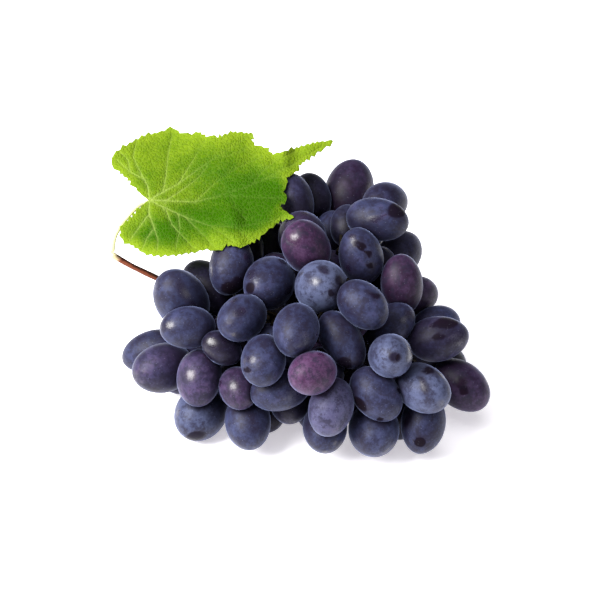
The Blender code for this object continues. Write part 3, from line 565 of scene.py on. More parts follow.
def stem_branches(berries):
    """Branches from the main stem to each berry's stalk end, led through the gaps between
    berries. Each is a list of points and the radius it has."""
    centre, axis, _, long = berries
    low = centre.min(axis=0) - WEB_MARGIN
    shape = np.ceil((centre.max(axis=0) + WEB_MARGIN - low) / WEB_CELL).astype(int)
    places = np.stack(np.meshgrid(*(np.arange(n) for n in shape), indexing="ij"), axis=-1)
    points = low + (places + 0.5) * WEB_CELL
    clear = np.full(tuple(shape), FAR)
    for middles, radii in zip(*beads(*berries)):
        for middle, radius in zip(middles, radii):
            clear = np.minimum(clear, np.linalg.norm(points - middle, axis=-1) - radius)
    toll = 1 + CROSSING_TOLL * np.clip(CLEAR_ENOUGH - clear, 0, None)
    bunch = SEEN_FORM + HIDDEN_FORM
    toll += np.where(inside_form(points.reshape(-1, 3), bunch).reshape(shape), 0, OUTSIDE_TOLL)
    toll += DISTANCE_TOLL * np.linalg.norm(points - BUNCH_MIDDLE, axis=-1)

    def cell_of(point):
        return tuple(np.clip(np.floor((point - low) / WEB_CELL).astype(int), 0, shape - 1).tolist())

    way = even_path(STEM_WAY, 60)
    roots = {cell_of(point): point for point in way if point[0] > BUNCH_START}
    parent = cheapest_ways(toll, roots)
    spot = {}
    children = {}
    tails = centre - axis * (long + PEDICEL_SHORT)[:, None]
    for number, tail in enumerate(tails):
        end = ("tail", number)
        spot[end] = tail
        key = cell_of(tail)
        children.setdefault(key, set()).add(end)
        while key not in spot:
            root = parent[key] is None
            spot[key] = roots[key] if root else low + (np.array(key) + 0.5) * WEB_CELL
            if root:
                break
            children.setdefault(parent[key], set()).add(key)
            key = parent[key]
    above = {child: key for key, group in children.items() for child in group}
    for _ in range(3):
        moved = {}
        for key, point in spot.items():
            if key in above and key in children:
                below = np.mean([spot[child] for child in sorted(children[key], key=str)], axis=0)
                moved[key] = 0.4 * point + 0.3 * spot[above[key]] + 0.3 * below
        spot.update(moved)
    load = {}

    def carried(key):
        if key not in load:
            load[key] = sum(map(carried, children[key])) if key in children else 1
        return load[key]

    branches = []
    waiting = [key for key in spot if key not in above]
    while waiting:
        start = waiting.pop()
        for child in sorted(children.get(start, ()), key=str):
            line = [spot[start], spot[child]]
            while len(children.get(child, ())) == 1:
                child = next(iter(children[child]))
                line.append(spot[child])
            waiting.append(child)
            radius = min(PEDICEL_RADIUS * carried(child) ** 0.3, BRANCH_RADIUS)
            branches.append((even_line(line, BRANCH_STEP), radius))
    return branches


def even_line(line, step):
    """The line with its points about this far apart."""
    line = np.array(line)
    run = np.r_[0, np.cumsum(np.linalg.norm(np.diff(line, axis=0), axis=1))]
    places = np.linspace(0, run[-1], max(2, round(run[-1] / step) + 1))
    return np.stack([np.interp(places, run, line[:, k]) for k in range(3)], axis=1)


# Numbers of the finer pieces, in millimetres unless a comment says otherwise.
BRANCH_STEP = 3.0
CUT_END = 2.2
# How far from its free end the main stem keeps its bark colour, and how far it takes to turn to the
# near-black painted shade of the branches.
SHOWN_STEM = 17.0
SHADE_LENGTH = 8.0
STALK_TOUCH = 0.5
STALK_SUNK = 1.5
DEEPEST_MOVE = 14.0
TOUCH_REACH = 1.8
NEIGHBOUR_REACH = 32.0
BLADE_CLEARANCE = 0.8
BLADE_SETTLE = 0.15
PUFF_HEIGHT = 0.45
RIPPLE_HEIGHT = 0.35

# In pixels of the view: the blade's grids, its teeth, and how far its veins and edge shape it.
SHEET_CORNER = np.array([96.0, 116.0])
SHEET_CELL = 3.0
BLADE_LOW = (110, 128)
BLADE_HIGH = (335, 256)
BLADE_CELL = 3.2
VEIN_STEP = 3.0
VEIN_SIDE = 0.55
NOTCH_REACH = 9.0
TOOTH_SPACING = (4.5, 10.0)
VEIN_SOFTNESS = 1.6
VEIN_FALL = 0.7
PUFF_REACH = 9.0
RIPPLE_REACH = 5.0
EDGE_REACH = 6.0
EDGE_FALL = 5.0

# Shares and counts. The blur is in cells of the sheet's grid.
SHEET_SHAPE = (52, 82)
SHEET_BLUR = 1.6
TOOTH_PUSH = (0.35, 1.3)
TOOTH_TIP = 0.7
BARE_LIGHT = 0.62
BACK_SWELL = 1.05
# Berries behind others that are made fuller, so that no light shows past them.
FULLER_BERRIES = {15: 1.12, 68: 1.25}
# On a berry of half length 1: how high its ends are, and how far in its tip (1) and its seat for
# the stalk (-1) are pushed.
END_HEIGHT = 0.9999
END_PUSHES = ((1, 0.022), (-1, 0.05))
# How uneven the berries are: each wave's height, the most stretch, and how much slimmer the tip is.
WAVE_HEIGHT = (0.003, 0.009)
MOST_STRETCH = 0.012
TAPER = (0.0, 0.05)
# How far the rubbed spots spread past their size, soft ones and those brown enough for an edge.
SPOT_REACH = 1.45
SHARP_SPOT_FADE = 0.9
SHARP_SPOT_BROWN = 0.45
# Sizes in radians and strengths of the rubbed patches: the one that faces outwards, and the rest.
OUTER_PATCH = ((0.35, 0.8), (0.25, 0.6))
SMALL_PATCH = ((0.08, 0.3), (0.4, 0.8))
# Where a skin turned inwards starts to lose its bloom and to darken as painted shade, and how much:
# seen berries and hidden ones.
INWARD_SEEN = (0.1, 0.7)
INWARD_HIDDEN = (0.6, 1.0)

# The studio, in metres and watts. Each light: name, place, size across, power and colour.
SENSOR_MM = 36.0
FLOOR_WIDTH = 8.0
FLOOR_DROP = 0.0002
SKY_STRENGTH = 0.20
LIT_POINT = (0, 0, 0.03)
LIGHTS = (
    ("key", (-0.72, -0.34, 0.80), 0.85, 36.0, (1.0, 0.99, 0.98)),
    ("ceiling", (-0.30, -0.25, 1.40), 1.9, 20.0, (1.0, 1.0, 1.0)),
    ("fill", (0.9, -0.7, 0.6), 0.8, 2.0, (0.95, 0.97, 1.0)),
)

# How the skins differ: how purple, how thick the bloom is, and how dark, each from 0 to 1. The
# darkness is partly a skin with less bloom and partly painted shade, which is highest on the
# berries in the gaps and in the leaf's shadow.
COMMON_LOOK = (0.12, 0.55, 0.2)
BERRY_LOOKS = {
    "round_bright": (0.08, 1.0, 0.0),
    "round_right": (0.05, 0.9, 0.05),
    "front_low_left": (0.1, 0.85, 0.1),
    "front_low_mid": (0.1, 0.65, 0.15),
    "front_low": (0.15, 0.7, 0.1),
    "pink": (1.0, 0.6, 0.0),
    "purple_upper": (0.75, 0.35, 0.2),
    "front_purple": (0.45, 0.8, 0.0),
    "upper_right": (0.15, 0.55, 0.2),
    "top_tall": (0.5, 0.45, 0.35),
    "top_by_leaf": (0.25, 0.5, 0.35),
    "dark_upright": (0.6, 0.25, 0.45),
    "right_tip": (0.5, 0.4, 0.3),
    "right_front": (0.12, 0.9, 0.0),
    "right_big": (0.25, 0.4, 0.3),
    "blue_long": (0.05, 0.4, 0.4),
    "left_front": (0.45, 0.6, 0.15),
    "left_lower": (0.35, 0.55, 0.2),
    "left_upper": (0.1, 0.65, 0.15),
    "small_purple": (0.5, 0.4, 0.3),
    "small_dark": (0.2, 0.15, 0.6),
    "left_back": (0.2, 0.2, 0.6),
    # Berries in the leaf's shadow and deep in the gaps: much of their darkness is painted shade.
    "low_dark_left": (0.2, 0.2, 0.8),
    "under_leaf": (0.1, 0.2, 0.85),
    "leaf_corner": (0.1, 0.2, 0.9),
    "top_gap": (0.1, 0.3, 0.7),
    "side_gap": (0.1, 0.3, 0.7),
    "right_gap": (0.1, 0.3, 0.7),
    "low_gap": (0.1, 0.3, 0.6),
    "low_dark_mid": (0.2, 0.2, 0.8),
    "behind_purple": (0.4, 0.3, 0.5),
    "green_shaded": (0.1, 0.6, 0.3),
    "top_dark": (0.2, 0.25, 0.85),
    "right_back": (0.2, 0.4, 0.4),
    "right_edge": (0.5, 0.4, 0.3),
    "top_right_back": (0.2, 0.4, 0.35),
    "dull_right": (0.15, 0.5, 0.2),
    "right_low_back": (0.1, 0.3, 0.7),
}

# Places where the bloom is rubbed away: pixels across and down, half length, half width, lean in
# degrees anticlockwise from the right, strength, and how brown.
RUBBED_SPOTS = (
    (398, 210, 10, 8, 20, 1.1, 0.8),
    (374, 219, 14, 6, 8, 0.8, 0.0),
    (448, 322, 11, 7, 10, 1.1, 0.8),
    (438, 337, 7, 4, 10, 1.0, 0.8),
    (395, 357, 7, 6, 0, 0.9, 0.5),
    (397, 357, 3, 2, 60, 1.3, 1.0),
    (360, 404, 4, 9, 40, 1.2, 1.0),
    (380, 420, 4, 3, 0, 0.9, 1.0),
    (362, 247, 4, 4, 0, 1.2, 0.9),
    (369, 254, 3, 3, 0, 1.1, 0.9),
    (356, 243, 4, 3, 30, 0.9, 0.5),
    (370, 266, 3, 3, 0, 1.1, 0.9),
    (352, 236, 7, 5, 0, 0.7, 0.2),
    (424, 386, 6, 20, 15, 0.9, 0.3),
    (429, 370, 5, 4, 0, 1.1, 0.9),
    (400, 390, 3, 3, 0, 1.2, 1.0),
    (230, 288, 9, 6, 0, 1.2, 0.9),
    (238, 283, 6, 7, 0, 1.0, 0.7),
    (217, 262, 5, 4, 0, 0.7, 0.4),
    (182, 290, 18, 9, 115, 0.9, 0.1),
    (194, 306, 14, 6, 120, 0.8, 0.2),
    (324, 270, 9, 6, 160, 1.0, 0.3),
    (339, 280, 6, 4, 110, 1.0, 0.5),
    (331, 293, 4, 3, 70, 0.9, 0.7),
    (315, 281, 12, 10, 0, 0.75, 0.0),
    (196, 436, 11, 5, 10, 1.0, 0.6),
    (294, 240, 11, 9, 0, 0.9, 0.0),
    (303, 230, 9, 4, 0, 0.7, 0.3),
    (190, 376, 10, 9, 0, 0.8, 0.0),
    (205, 372, 10, 12, 0, 0.5, 0.0),
    (168, 326, 10, 8, 0, 0.8, 0.0),
    (251, 274, 9, 6, 40, 0.9, 0.1),
    (250, 288, 4, 5, 0, 1.2, 0.9),
    (240, 312, 11, 8, 20, 0.9, 0.1),
    (235, 300, 8, 4, 40, 0.8, 0.2),
    (250, 359, 9, 7, 20, 0.7, 0.1),
    (247, 370, 4, 3, 0, 0.9, 0.9),
    (234, 385, 8, 8, 0, 0.8, 0.1),
    (376, 296, 5, 3, 0, 1.0, 0.6),
    (366, 292, 6, 3, 150, 0.8, 0.3),
    (343, 366, 9, 8, 50, 1.2, 0.7),
    (420, 442, 6, 5, 0, 1.2, 0.9),
    (408, 420, 4, 9, 160, 0.9, 0.5),
    (461, 382, 7, 7, 0, 0.9, 0.5),
    (464, 391, 5, 4, 0, 1.1, 0.8),
    (212, 343, 9, 8, 20, 1.0, 0.0),
    (226, 340, 8, 6, 20, 0.8, 0.0),
    (154, 392, 8, 6, 0, 0.6, 0.6),
    (318, 371, 10, 8, 0, 0.45, 0.1),
    (325, 382, 9, 9, 0, 0.4, 0.0),
)

# Pale veins of the blade in pixels of the view: width in pixels, then points.
LEAF_VEINS = (
    (1.5, ((149, 200), (170, 201), (195, 202), (215, 197), (250, 186), (290, 166), (322, 147))),
    (1.3, ((149, 200), (163, 192), (178, 184), (200, 168), (222, 153), (246, 138))),
    (1.3, ((149, 200), (157, 204), (165, 208), (185, 217), (210, 226), (235, 227), (262, 223),
           (285, 218))),
    (1.0, ((149, 200), (148, 187), (140, 172), (133, 157), (136, 143))),
    (1.0, ((149, 200), (149, 214), (154, 228), (158, 240), (157, 250))),
    (0.8, ((165, 208), (172, 225), (186, 240), (194, 249))),
    (0.8, ((145, 180), (130, 172), (118, 161))),
    (0.8, ((163, 192), (166, 175), (168, 155), (172, 134))),
    (0.8, ((149, 214), (140, 226), (130, 240))),
    (0.7, ((195, 202), (214, 184), (236, 168), (262, 157))),
    (0.7, ((215, 197), (240, 196), (262, 198), (281, 198))),
    (0.7, ((250, 186), (262, 172), (276, 160), (294, 152))),
    (0.7, ((178, 184), (192, 162), (202, 145), (206, 139))),
    (0.7, ((185, 217), (204, 236), (214, 247))),
    (0.7, ((210, 226), (226, 236), (234, 243))),
    (0.7, ((235, 227), (246, 236), (250, 240))),
    (0.6, ((200, 168), (214, 158), (228, 156), (250, 148))),
    (0.6, ((262, 180), (274, 178), (283, 177))),
    (0.6, ((154, 228), (146, 240), (142, 250))),
    (0.6, ((130, 172), (128, 160), (121, 153))),
    (0.6, ((165, 201), (182, 190), (198, 178), (208, 165))),
    (0.6, ((178, 214), (180, 228), (176, 246))),
    (0.6, ((230, 192), (236, 208), (246, 220))),
)

# Darker patches of the blade, partly its own deeper green and partly painted shade that leaves the
# upper left lighter: pixels across and down, half width and height, and how much darker.
LEAF_DARK_SPOTS = (
    (258, 197, 42, 20, 0.65),
    (165, 232, 30, 14, 0.45),
    (212, 168, 34, 16, 0.25),
    (240, 222, 34, 12, 0.35),
    (196, 215, 22, 12, 0.3),
    (138, 190, 20, 14, 0.2),
)


class GrapeBunchSizes(bpy.types.PropertyGroup):
    """Sizes of the finer pieces."""

    berry_sides: bpy.props.IntProperty(
        name="Berry sides", description="Faces round a berry that shows",
        default=36, min=12, max=64,
    )
    berry_bands: bpy.props.IntProperty(
        name="Berry bands", description="Faces from a berry's stalk to its tip",
        default=24, min=8, max=48,
    )
    hidden_sides: bpy.props.IntProperty(
        name="Hidden berry sides", description="Faces round a berry at the back",
        default=24, min=8, max=64,
    )
    hidden_bands: bpy.props.IntProperty(
        name="Hidden berry bands", description="Bands of a berry at the back",
        default=16, min=6, max=48,
    )
    blade_thickness: bpy.props.FloatProperty(
        name="Blade thickness",
        description="How thick the leaf is",
        default=0.0004,
        unit="LENGTH",
        subtype="DISTANCE",
    )
    vein_depth: bpy.props.FloatProperty(
        name="Vein depth",
        description="How far the veins are sunk in the leaf",
        default=0.00035,
        unit="LENGTH",
        subtype="DISTANCE",
    )
    tooth_length: bpy.props.FloatProperty(
        name="Tooth length",
        description="How far the fine teeth stand out of the leaf's edge",
        default=0.0011,
        unit="LENGTH",
        subtype="DISTANCE",
    )


class GrapeBunchColours(bpy.types.PropertyGroup):
    """Colours of the finishes."""

    skin: bpy.props.FloatVectorProperty(
        name="Skin", description="Dark blue skin under the bloom", subtype="COLOR", size=3,
        default=(0.009, 0.006, 0.018), min=0, max=1,
    )
    purple: bpy.props.FloatVectorProperty(
        name="Purple skin", description="Skin of the redder berries", subtype="COLOR", size=3,
        default=(0.030, 0.007, 0.030), min=0, max=1,
    )
    bloom: bpy.props.FloatVectorProperty(
        name="Bloom", description="Waxy dust on the skin", subtype="COLOR", size=3,
        default=(0.032, 0.041, 0.098), min=0, max=1,
    )
    leaf: bpy.props.FloatVectorProperty(
        name="Leaf", description="Upper face of the blade", subtype="COLOR", size=3,
        default=(0.021, 0.076, 0.0), min=0, max=1,
    )
    leaf_light: bpy.props.FloatVectorProperty(
        name="Light leaf", description="Veins and edge of the blade", subtype="COLOR", size=3,
        default=(0.26, 0.33, 0.08), min=0, max=1,
    )
    stem: bpy.props.FloatVectorProperty(
        name="Stem", description="Reddish brown bark of the main stem", subtype="COLOR", size=3,
        default=(0.15, 0.040, 0.018), min=0, max=1,
    )
    stalk: bpy.props.FloatVectorProperty(
        name="Stalk", description="Pale green of the leaf stalk", subtype="COLOR", size=3,
        default=(0.50, 0.52, 0.20), min=0, max=1,
    )


def sizes():
    return bpy.context.scene.grape_sizes


def colours():
    return bpy.context.scene.grape_colours


def deselect_all():
    if bpy.context.mode != "OBJECT":
        bpy.ops.object.mode_set(mode="OBJECT")
    bpy.ops.object.select_all(action="DESELECT")


def to_metres(points):
    """Points of the layout in the scene: metres from the part's origin."""
    return (np.asarray(points, float) - ORIGIN_IN_LAYOUT) * 0.001


def only(obj):
    """Selects this object alone and makes it active."""
    deselect_all()
    obj.select_set(True)
    bpy.context.view_layer.objects.active = obj


def points_of(mesh):
    flat = np.empty(len(mesh.vertices) * 3, np.float32)
    mesh.vertices.foreach_get("co", flat)
    return flat.reshape(-1, 3).astype(float)


def set_points(mesh, points):
    mesh.vertices.foreach_set("co", np.asarray(points, np.float32).ravel())
    mesh.update()


def add_values(mesh, name, values):
    layer = mesh.attributes.new(name, "FLOAT", "POINT")
    layer.data.foreach_set("value", np.asarray(values, np.float32).ravel())


def add_vectors(mesh, name, values):
    layer = mesh.attributes.new(name, "FLOAT_VECTOR", "POINT")
    layer.data.foreach_set("vector", np.asarray(values, np.float32).ravel())


LAYOUT = {}


def whole_layout():
    """The berries that show, those behind them, and the stem's branches. Worked out once."""
    if not LAYOUT:
        seen = settle_seen()
        hidden = fill_hidden(seen)
        berries = tuple(np.concatenate(pair) for pair in zip(seen, hidden))
        LAYOUT.update(seen=seen, hidden=hidden, berries=berries, branches=stem_branches(berries))
    return LAYOUT



# Finishes. Their colours are linear red, green and blue.

RED_DUST = (0.080, 0.040, 0.092)
THICK_DUST = (0.064, 0.076, 0.140)
DARK_SMEAR = (0.011, 0.009, 0.021)
SCAR = (0.005, 0.003, 0.005)
FLECK = (0.006, 0.004, 0.006)
PIT = (0.006, 0.004, 0.005)
DUST_BEAD = (0.42, 0.45, 0.56)
TIP_SCAR = (0.012, 0.008, 0.007)
SHEEN_TINT = (0.46, 0.55, 0.95)
YELLOW_LEAF = (0.145, 0.216, 0.008)
LEAF_UNDERSIDE = (0.20, 0.30, 0.10)
DARK_BARK = (0.016, 0.004, 0.002)
# Near-black browns painted on the branches, the berry stalks and the stem inside the bunch, as
# shade.
SHADED_BRANCH = (0.009, 0.007, 0.003)
DARKER_SHADED_BRANCH = (0.006, 0.0035, 0.002)
CUT_WOOD = (0.62, 0.56, 0.33)
STALK_BLOTCH = (0.62, 0.60, 0.36)
FLOOR_WHITE = (0.95, 0.945, 0.96)
FLOOR_GLOW = (0.98, 0.94, 1.0)


def new_material(name):
    """An empty finish: its material, node tree and shader."""
    material = bpy.data.materials.new(name)
    material.use_nodes = True
    return material, material.node_tree, material.node_tree.nodes["Principled BSDF"]


def feed(tree, socket, value):
    """Links an output to a node's input, or sets a number or a colour there."""
    if isinstance(value, bpy.types.NodeSocket):
        tree.links.new(value, socket)
    elif isinstance(value, (int, float)):
        socket.default_value = value
    else:
        socket.default_value = (*value[:3], 1.0)


def feed_all(tree, node, **inputs):
    """Feeds the inputs of these names; _ stands for a space in a name."""
    for key, value in inputs.items():
        feed(tree, node.inputs[key.replace("_", " ")], value)
    return node


def add_node(tree, kind, **inputs):
    return feed_all(tree, tree.nodes.new(kind), **inputs)


def maths(tree, operation, first, second):
    """A Math node on outputs or numbers; gives its output."""
    node = tree.nodes.new("ShaderNodeMath")
    node.operation = operation
    feed(tree, node.inputs[0], first)
    feed(tree, node.inputs[1], second)
    return node.outputs[0]


def times(tree, value, amount):
    return maths(tree, "MULTIPLY", value, amount)


def sway(tree, value, mask, amount):
    """The value, raised where the mask is over a half and lowered where it is under."""
    return maths(tree, "ADD", value, times(tree, maths(tree, "SUBTRACT", mask, 0.5), amount))


def less(tree, mask, amount):
    """One less this much of the mask."""
    return maths(tree, "SUBTRACT", 1.0, times(tree, mask, amount))


def ramp(tree, value, low, high, to_low=0.0, to_high=1.0):
    """Maps a value from low..high to to_low..to_high, clamped and smooth."""
    node = add_node(
        tree, "ShaderNodeMapRange",
        Value=value, From_Min=low, From_Max=high, To_Min=to_low, To_Max=to_high,
    )
    node.interpolation_type = "SMOOTHSTEP"
    return node.outputs["Result"]


def blend(tree, factor, first, second, mode="MIX"):
    """A mix of two colours, each an output or a tuple; gives its output."""
    node = tree.nodes.new("ShaderNodeMix")
    node.data_type = "RGBA"
    node.blend_type = mode
    for k, value in ((0, factor), (6, first), (7, second)):
        feed(tree, node.inputs[k], value)
    return node.outputs[2]


def tint(tree, colour, mask, amount, over):
    """Lays a colour over another by this much of the mask."""
    return blend(tree, times(tree, mask, amount), colour, over)


def noise(tree, vector, scale, detail, roughness):
    node = add_node(
        tree, "ShaderNodeTexNoise", Vector=vector, Scale=scale, Detail=detail, Roughness=roughness
    )
    return node.outputs["Fac"]


def bump(tree, height, strength, distance):
    """Small relief in the light alone; gives the normal."""
    node = add_node(tree, "ShaderNodeBump", Strength=strength, Distance=distance, Height=height)
    return node.outputs[0]


def attribute(tree, name, output="Fac"):
    node = tree.nodes.new("ShaderNodeAttribute")
    node.attribute_name = name
    return node.outputs[output]


def new_group(name, numbers):
    """A node group that makes a mask from a vector and these numbers: its tree and its inputs."""
    tree = bpy.data.node_groups.new(name, "ShaderNodeTree")
    tree.interface.new_socket("Vector", in_out="INPUT", socket_type="NodeSocketVector")
    for key, value in numbers.items():
        socket = tree.interface.new_socket(key, in_out="INPUT", socket_type="NodeSocketFloat")
        socket.default_value = value
    tree.interface.new_socket("Mask", in_out="OUTPUT", socket_type="NodeSocketFloat")
    return tree, tree.nodes.new("NodeGroupInput").outputs


def mottling_group():
    """A shared effect: cloudy patches with finer blotches in them, as one mask round 0.5."""
    name = "mottling"
    if name in bpy.data.node_groups:
        return bpy.data.node_groups[name]
    tree, given = new_group(name, {"Cloud scale": 1.5, "Blotch scale": 7.0, "Blotch share": 0.4})
    clouds = noise(tree, given["Vector"], given["Cloud scale"], 3.0, 0.6)
    blotches = noise(tree, given["Vector"], given["Blotch scale"], 5.0, 0.6)
    mix = tree.nodes.new("ShaderNodeMix")
    for k, value in ((0, given["Blotch share"]), (2, clouds), (3, blotches)):
        feed(tree, mix.inputs[k], value)
    add_node(tree, "NodeGroupOutput", Mask=mix.outputs[0])
    return tree


def specks_group():
    """A shared effect: small sparse round specks, as a mask from 0 to 1."""
    name = "specks"
    if name in bpy.data.node_groups:
        return bpy.data.node_groups[name]
    tree, given = new_group(name, {"Scale": 8.0, "Size": 0.12, "Share": 0.3})
    cells = add_node(tree, "ShaderNodeTexVoronoi", Vector=given["Vector"], Scale=given["Scale"])
    near = maths(tree, "LESS_THAN", cells.outputs["Distance"], given["Size"])
    split = add_node(tree, "ShaderNodeSeparateColor", Color=cells.outputs["Color"])
    some = maths(tree, "LESS_THAN", split.outputs[0], given["Share"])
    add_node(tree, "NodeGroupOutput", Mask=times(tree, near, some))
    return tree


def add_group(tree, group, vector, **values):
    """A copy of a shared effect on this vector; gives its mask."""
    node = tree.nodes.new("ShaderNodeGroup")
    node.node_tree = group
    return feed_all(tree, node, Vector=vector, **values).outputs["Mask"]


def mottling(tree, vector, cloud_scale, blotch_scale, blotch_share):
    return add_group(
        tree, mottling_group(), vector,
        Cloud_scale=cloud_scale, Blotch_scale=blotch_scale, Blotch_share=blotch_share,
    )


def berry_material():
    """Dark skin under a cloudy bloom, rubbed glossy in places, with flecks, scars and dust, and
    painted shade on the darker berries, where berries touch and where the skin faces into the
    bunch.
    """
    tone = colours()
    material, tree, shader = new_material("grape_skin")
    place = attribute(tree, "berry_place", "Vector")
    names = ("purple", "bloom", "darkness_and_shade", "rubbed", "brown", "contact_wear_and_shade")
    purple, bloom, darkness_and_shade, rubbed, brown, contact_wear_and_shade = (attribute(tree, name) for name in names)
    clouds = mottling(tree, place, 0.9, 3.6, 0.35)
    fine = noise(tree, place, 11.0, 7.0, 0.72)
    warm = sway(tree, purple, clouds, 1.2)
    skin = blend(tree, ramp(tree, warm, 0.0, 1.0), tone.skin, tone.purple)
    wear = ramp(tree, sway(tree, sway(tree, rubbed, fine, 0.7), clouds, 1.1), 0.15, 0.95)
    level = ramp(tree, sway(tree, sway(tree, bloom, clouds, 3.2), fine, 1.6), -0.2, 1.3)
    cover = times(tree, level, ramp(tree, wear, 0.0, 1.0, 1.0, 0.14))
    # The bloom is rubbed off where berries touch and on skin that faces into the bunch; the same
    # mask darkens the colour below as painted shade.
    cover = times(tree, cover, less(tree, contact_wear_and_shade, 1.0))
    dust = blend(tree, ramp(tree, warm, 0.1, 1.0), tone.bloom, RED_DUST)
    dust = blend(tree, ramp(tree, bloom, 0.6, 1.0), dust, THICK_DUST)
    colour = tint(tree, skin, cover, 0.95, dust)
    # Painted shade: the colour is darkened by the berry's darkness and where it touches another
    # berry or faces into the bunch.
    shade = times(tree, less(tree, darkness_and_shade, 0.7), less(tree, contact_wear_and_shade, 0.7))
    grey = add_node(tree, "ShaderNodeCombineColor", Red=shade, Green=shade, Blue=shade)
    colour = blend(tree, 1.0, colour, grey.outputs[0], "MULTIPLY")
    smear = ramp(tree, noise(tree, place, 2.4, 8.0, 0.78), 0.48, 0.58)
    scar = times(tree, wear, brown)
    flecks = ramp(tree, noise(tree, place, 5.5, 4.0, 0.65), 0.70, 0.74)
    dots = add_group(tree, specks_group(), place, Scale=12.0, Size=0.13, Share=0.20)
    pits = add_group(tree, specks_group(), place, Scale=3.6, Size=0.075, Share=0.18)
    unit = attribute(tree, "berry_unit", "Vector")
    split = add_node(tree, "ShaderNodeSeparateXYZ", Vector=unit)
    tip = ramp(tree, split.outputs[2], 0.9985, 0.9994)
    for mask, amount, over in (
        (smear, 0.7, DARK_SMEAR),
        (scar, 0.95, SCAR),
        (flecks, 0.8, FLECK),
        (dots, 0.20, DUST_BEAD),
        (pits, 0.8, PIT),
        (tip, 0.7, TIP_SCAR),
    ):
        colour = tint(tree, colour, mask, amount, over)
    gloss = times(tree, wear, less(tree, brown, 0.8))
    mirror = ramp(tree, gloss, 0.1, 0.8, 0.15, 0.46)
    feed_all(
        tree, shader,
        Base_Color=colour,
        Roughness=ramp(tree, gloss, 0.0, 0.8, 0.48, 0.245),
        Normal=bump(tree, fine, 0.22, 0.0004),
        Specular_IOR_Level=times(tree, mirror, ramp(tree, scar, 0.1, 0.6, 1.0, 0.15)),
        Sheen_Weight=ramp(tree, wear, 0.05, 0.6, 0.44, 0.03),
        Sheen_Roughness=0.28,
        Sheen_Tint=SHEEN_TINT,
    )
    return material


def leaf_material():
    """Green blade, lighter at its veins and edge and darker in patches that are partly painted
    shade, with a fine network between the veins.
    """
    tone = colours()
    material, tree, shader = new_material("leaf_green")
    place = attribute(tree, "blade_place", "Vector")
    names = ("vein", "edge", "lightness_and_shade", "under")
    vein, edge, lightness_and_shade, under = (attribute(tree, name) for name in names)
    cloud = mottling(tree, place, 0.05, 0.33, 0.45)
    grain = noise(tree, place, 0.9, 5.0, 0.7)
    swirl = add_node(tree, "ShaderNodeTexNoise", Vector=place, Scale=0.25)
    bent = tree.nodes.new("ShaderNodeVectorMath")
    bent.operation = "MULTIPLY_ADD"
    bent.inputs[1].default_value = (3.5, 3.5, 3.5)
    feed(tree, bent.inputs[0], swirl.outputs["Color"])
    feed(tree, bent.inputs[2], place)
    net = add_node(tree, "ShaderNodeTexVoronoi", Vector=bent.outputs[0], Scale=0.30)
    net.feature = "DISTANCE_TO_EDGE"
    to_line = net.outputs["Distance"]
    lines = ramp(tree, to_line, 0.0, 0.14, 1.0, 0.0)
    # The darker patches in this lightness are partly painted shade.
    paler = maths(tree, "ADD", lightness_and_shade, times(tree, edge, 0.4))
    paler = sway(tree, sway(tree, paler, cloud, 1.2), grain, 1.0)
    colour = blend(tree, ramp(tree, paler, 0.0, 1.15), tone.leaf, YELLOW_LEAF)
    colour = tint(tree, colour, lines, 0.07, tone.leaf_light)
    colour = tint(tree, colour, vein, 0.55, tone.leaf_light)
    colour = tint(tree, colour, under, 0.6, LEAF_UNDERSIDE)
    height = maths(tree, "SUBTRACT", ramp(tree, to_line, 0.0, 0.25), times(tree, vein, 0.8))
    height = maths(tree, "ADD", height, times(tree, grain, 0.6))
    feed_all(
        tree, shader,
        Base_Color=colour,
        Roughness=ramp(tree, cloud, 0.3, 0.7, 0.40, 0.58),
        Normal=bump(tree, height, 0.6, 0.0004),
        Specular_IOR_Level=0.03,
    )
    return material


def stem_material():
    """Reddish brown bark, nearly black on its upper side, pale where cut; the branches and the stem
    inside the bunch are painted near black as shade.
    """
    tone = colours()
    material, tree, shader = new_material("stem_wood")
    coords = tree.nodes.new("ShaderNodeTexCoord").outputs["Object"]
    cloud = mottling(tree, coords, 120.0, 700.0, 0.5)
    normal = tree.nodes.new("ShaderNodeNewGeometry").outputs["Normal"]
    split = add_node(tree, "ShaderNodeSeparateXYZ", Vector=normal)
    upper = sway(tree, split.outputs[2], cloud, 1.6)
    colour = blend(tree, ramp(tree, upper, 0.3, 0.9), tone.stem, DARK_BARK)
    # Painted shade: the branches and the stem inside the bunch turn near black.
    branch_shade = blend(tree, ramp(tree, cloud, 0.3, 0.7), SHADED_BRANCH, DARKER_SHADED_BRANCH)
    colour = blend(tree, attribute(tree, "branch_shade"), colour, branch_shade)
    colour = blend(tree, attribute(tree, "cut"), colour, CUT_WOOD)
    feed_all(
        tree, shader,
        Base_Color=colour,
        Roughness=ramp(tree, cloud, 0.3, 0.7, 0.45, 0.7),
        Normal=bump(tree, cloud, 0.5, 0.0003),
        Specular_IOR_Level=0.15,
    )
    return material


def stalk_material():
    """Pale yellow-green stalk with faint blotches."""
    material, tree, shader = new_material("stalk_green")
    coords = tree.nodes.new("ShaderNodeTexCoord").outputs["Object"]
    cloud = mottling(tree, coords, 150.0, 900.0, 0.4)
    colour = blend(tree, ramp(tree, cloud, 0.3, 0.75), colours().stalk, STALK_BLOTCH)
    feed_all(
        tree, shader, Base_Color=colour, Roughness=ramp(tree, cloud, 0.3, 0.7, 0.4, 0.6)
    )
    return material


def floor_material():
    """White that glows a little, which keeps the shadows on it faint."""
    material, tree, shader = new_material("floor_white")
    feed_all(
        tree, shader,
        Base_Color=FLOOR_WHITE,
        Roughness=0.9,
        Emission_Color=FLOOR_GLOW,
        Emission_Strength=0.50,
    )
    return material


# Pieces


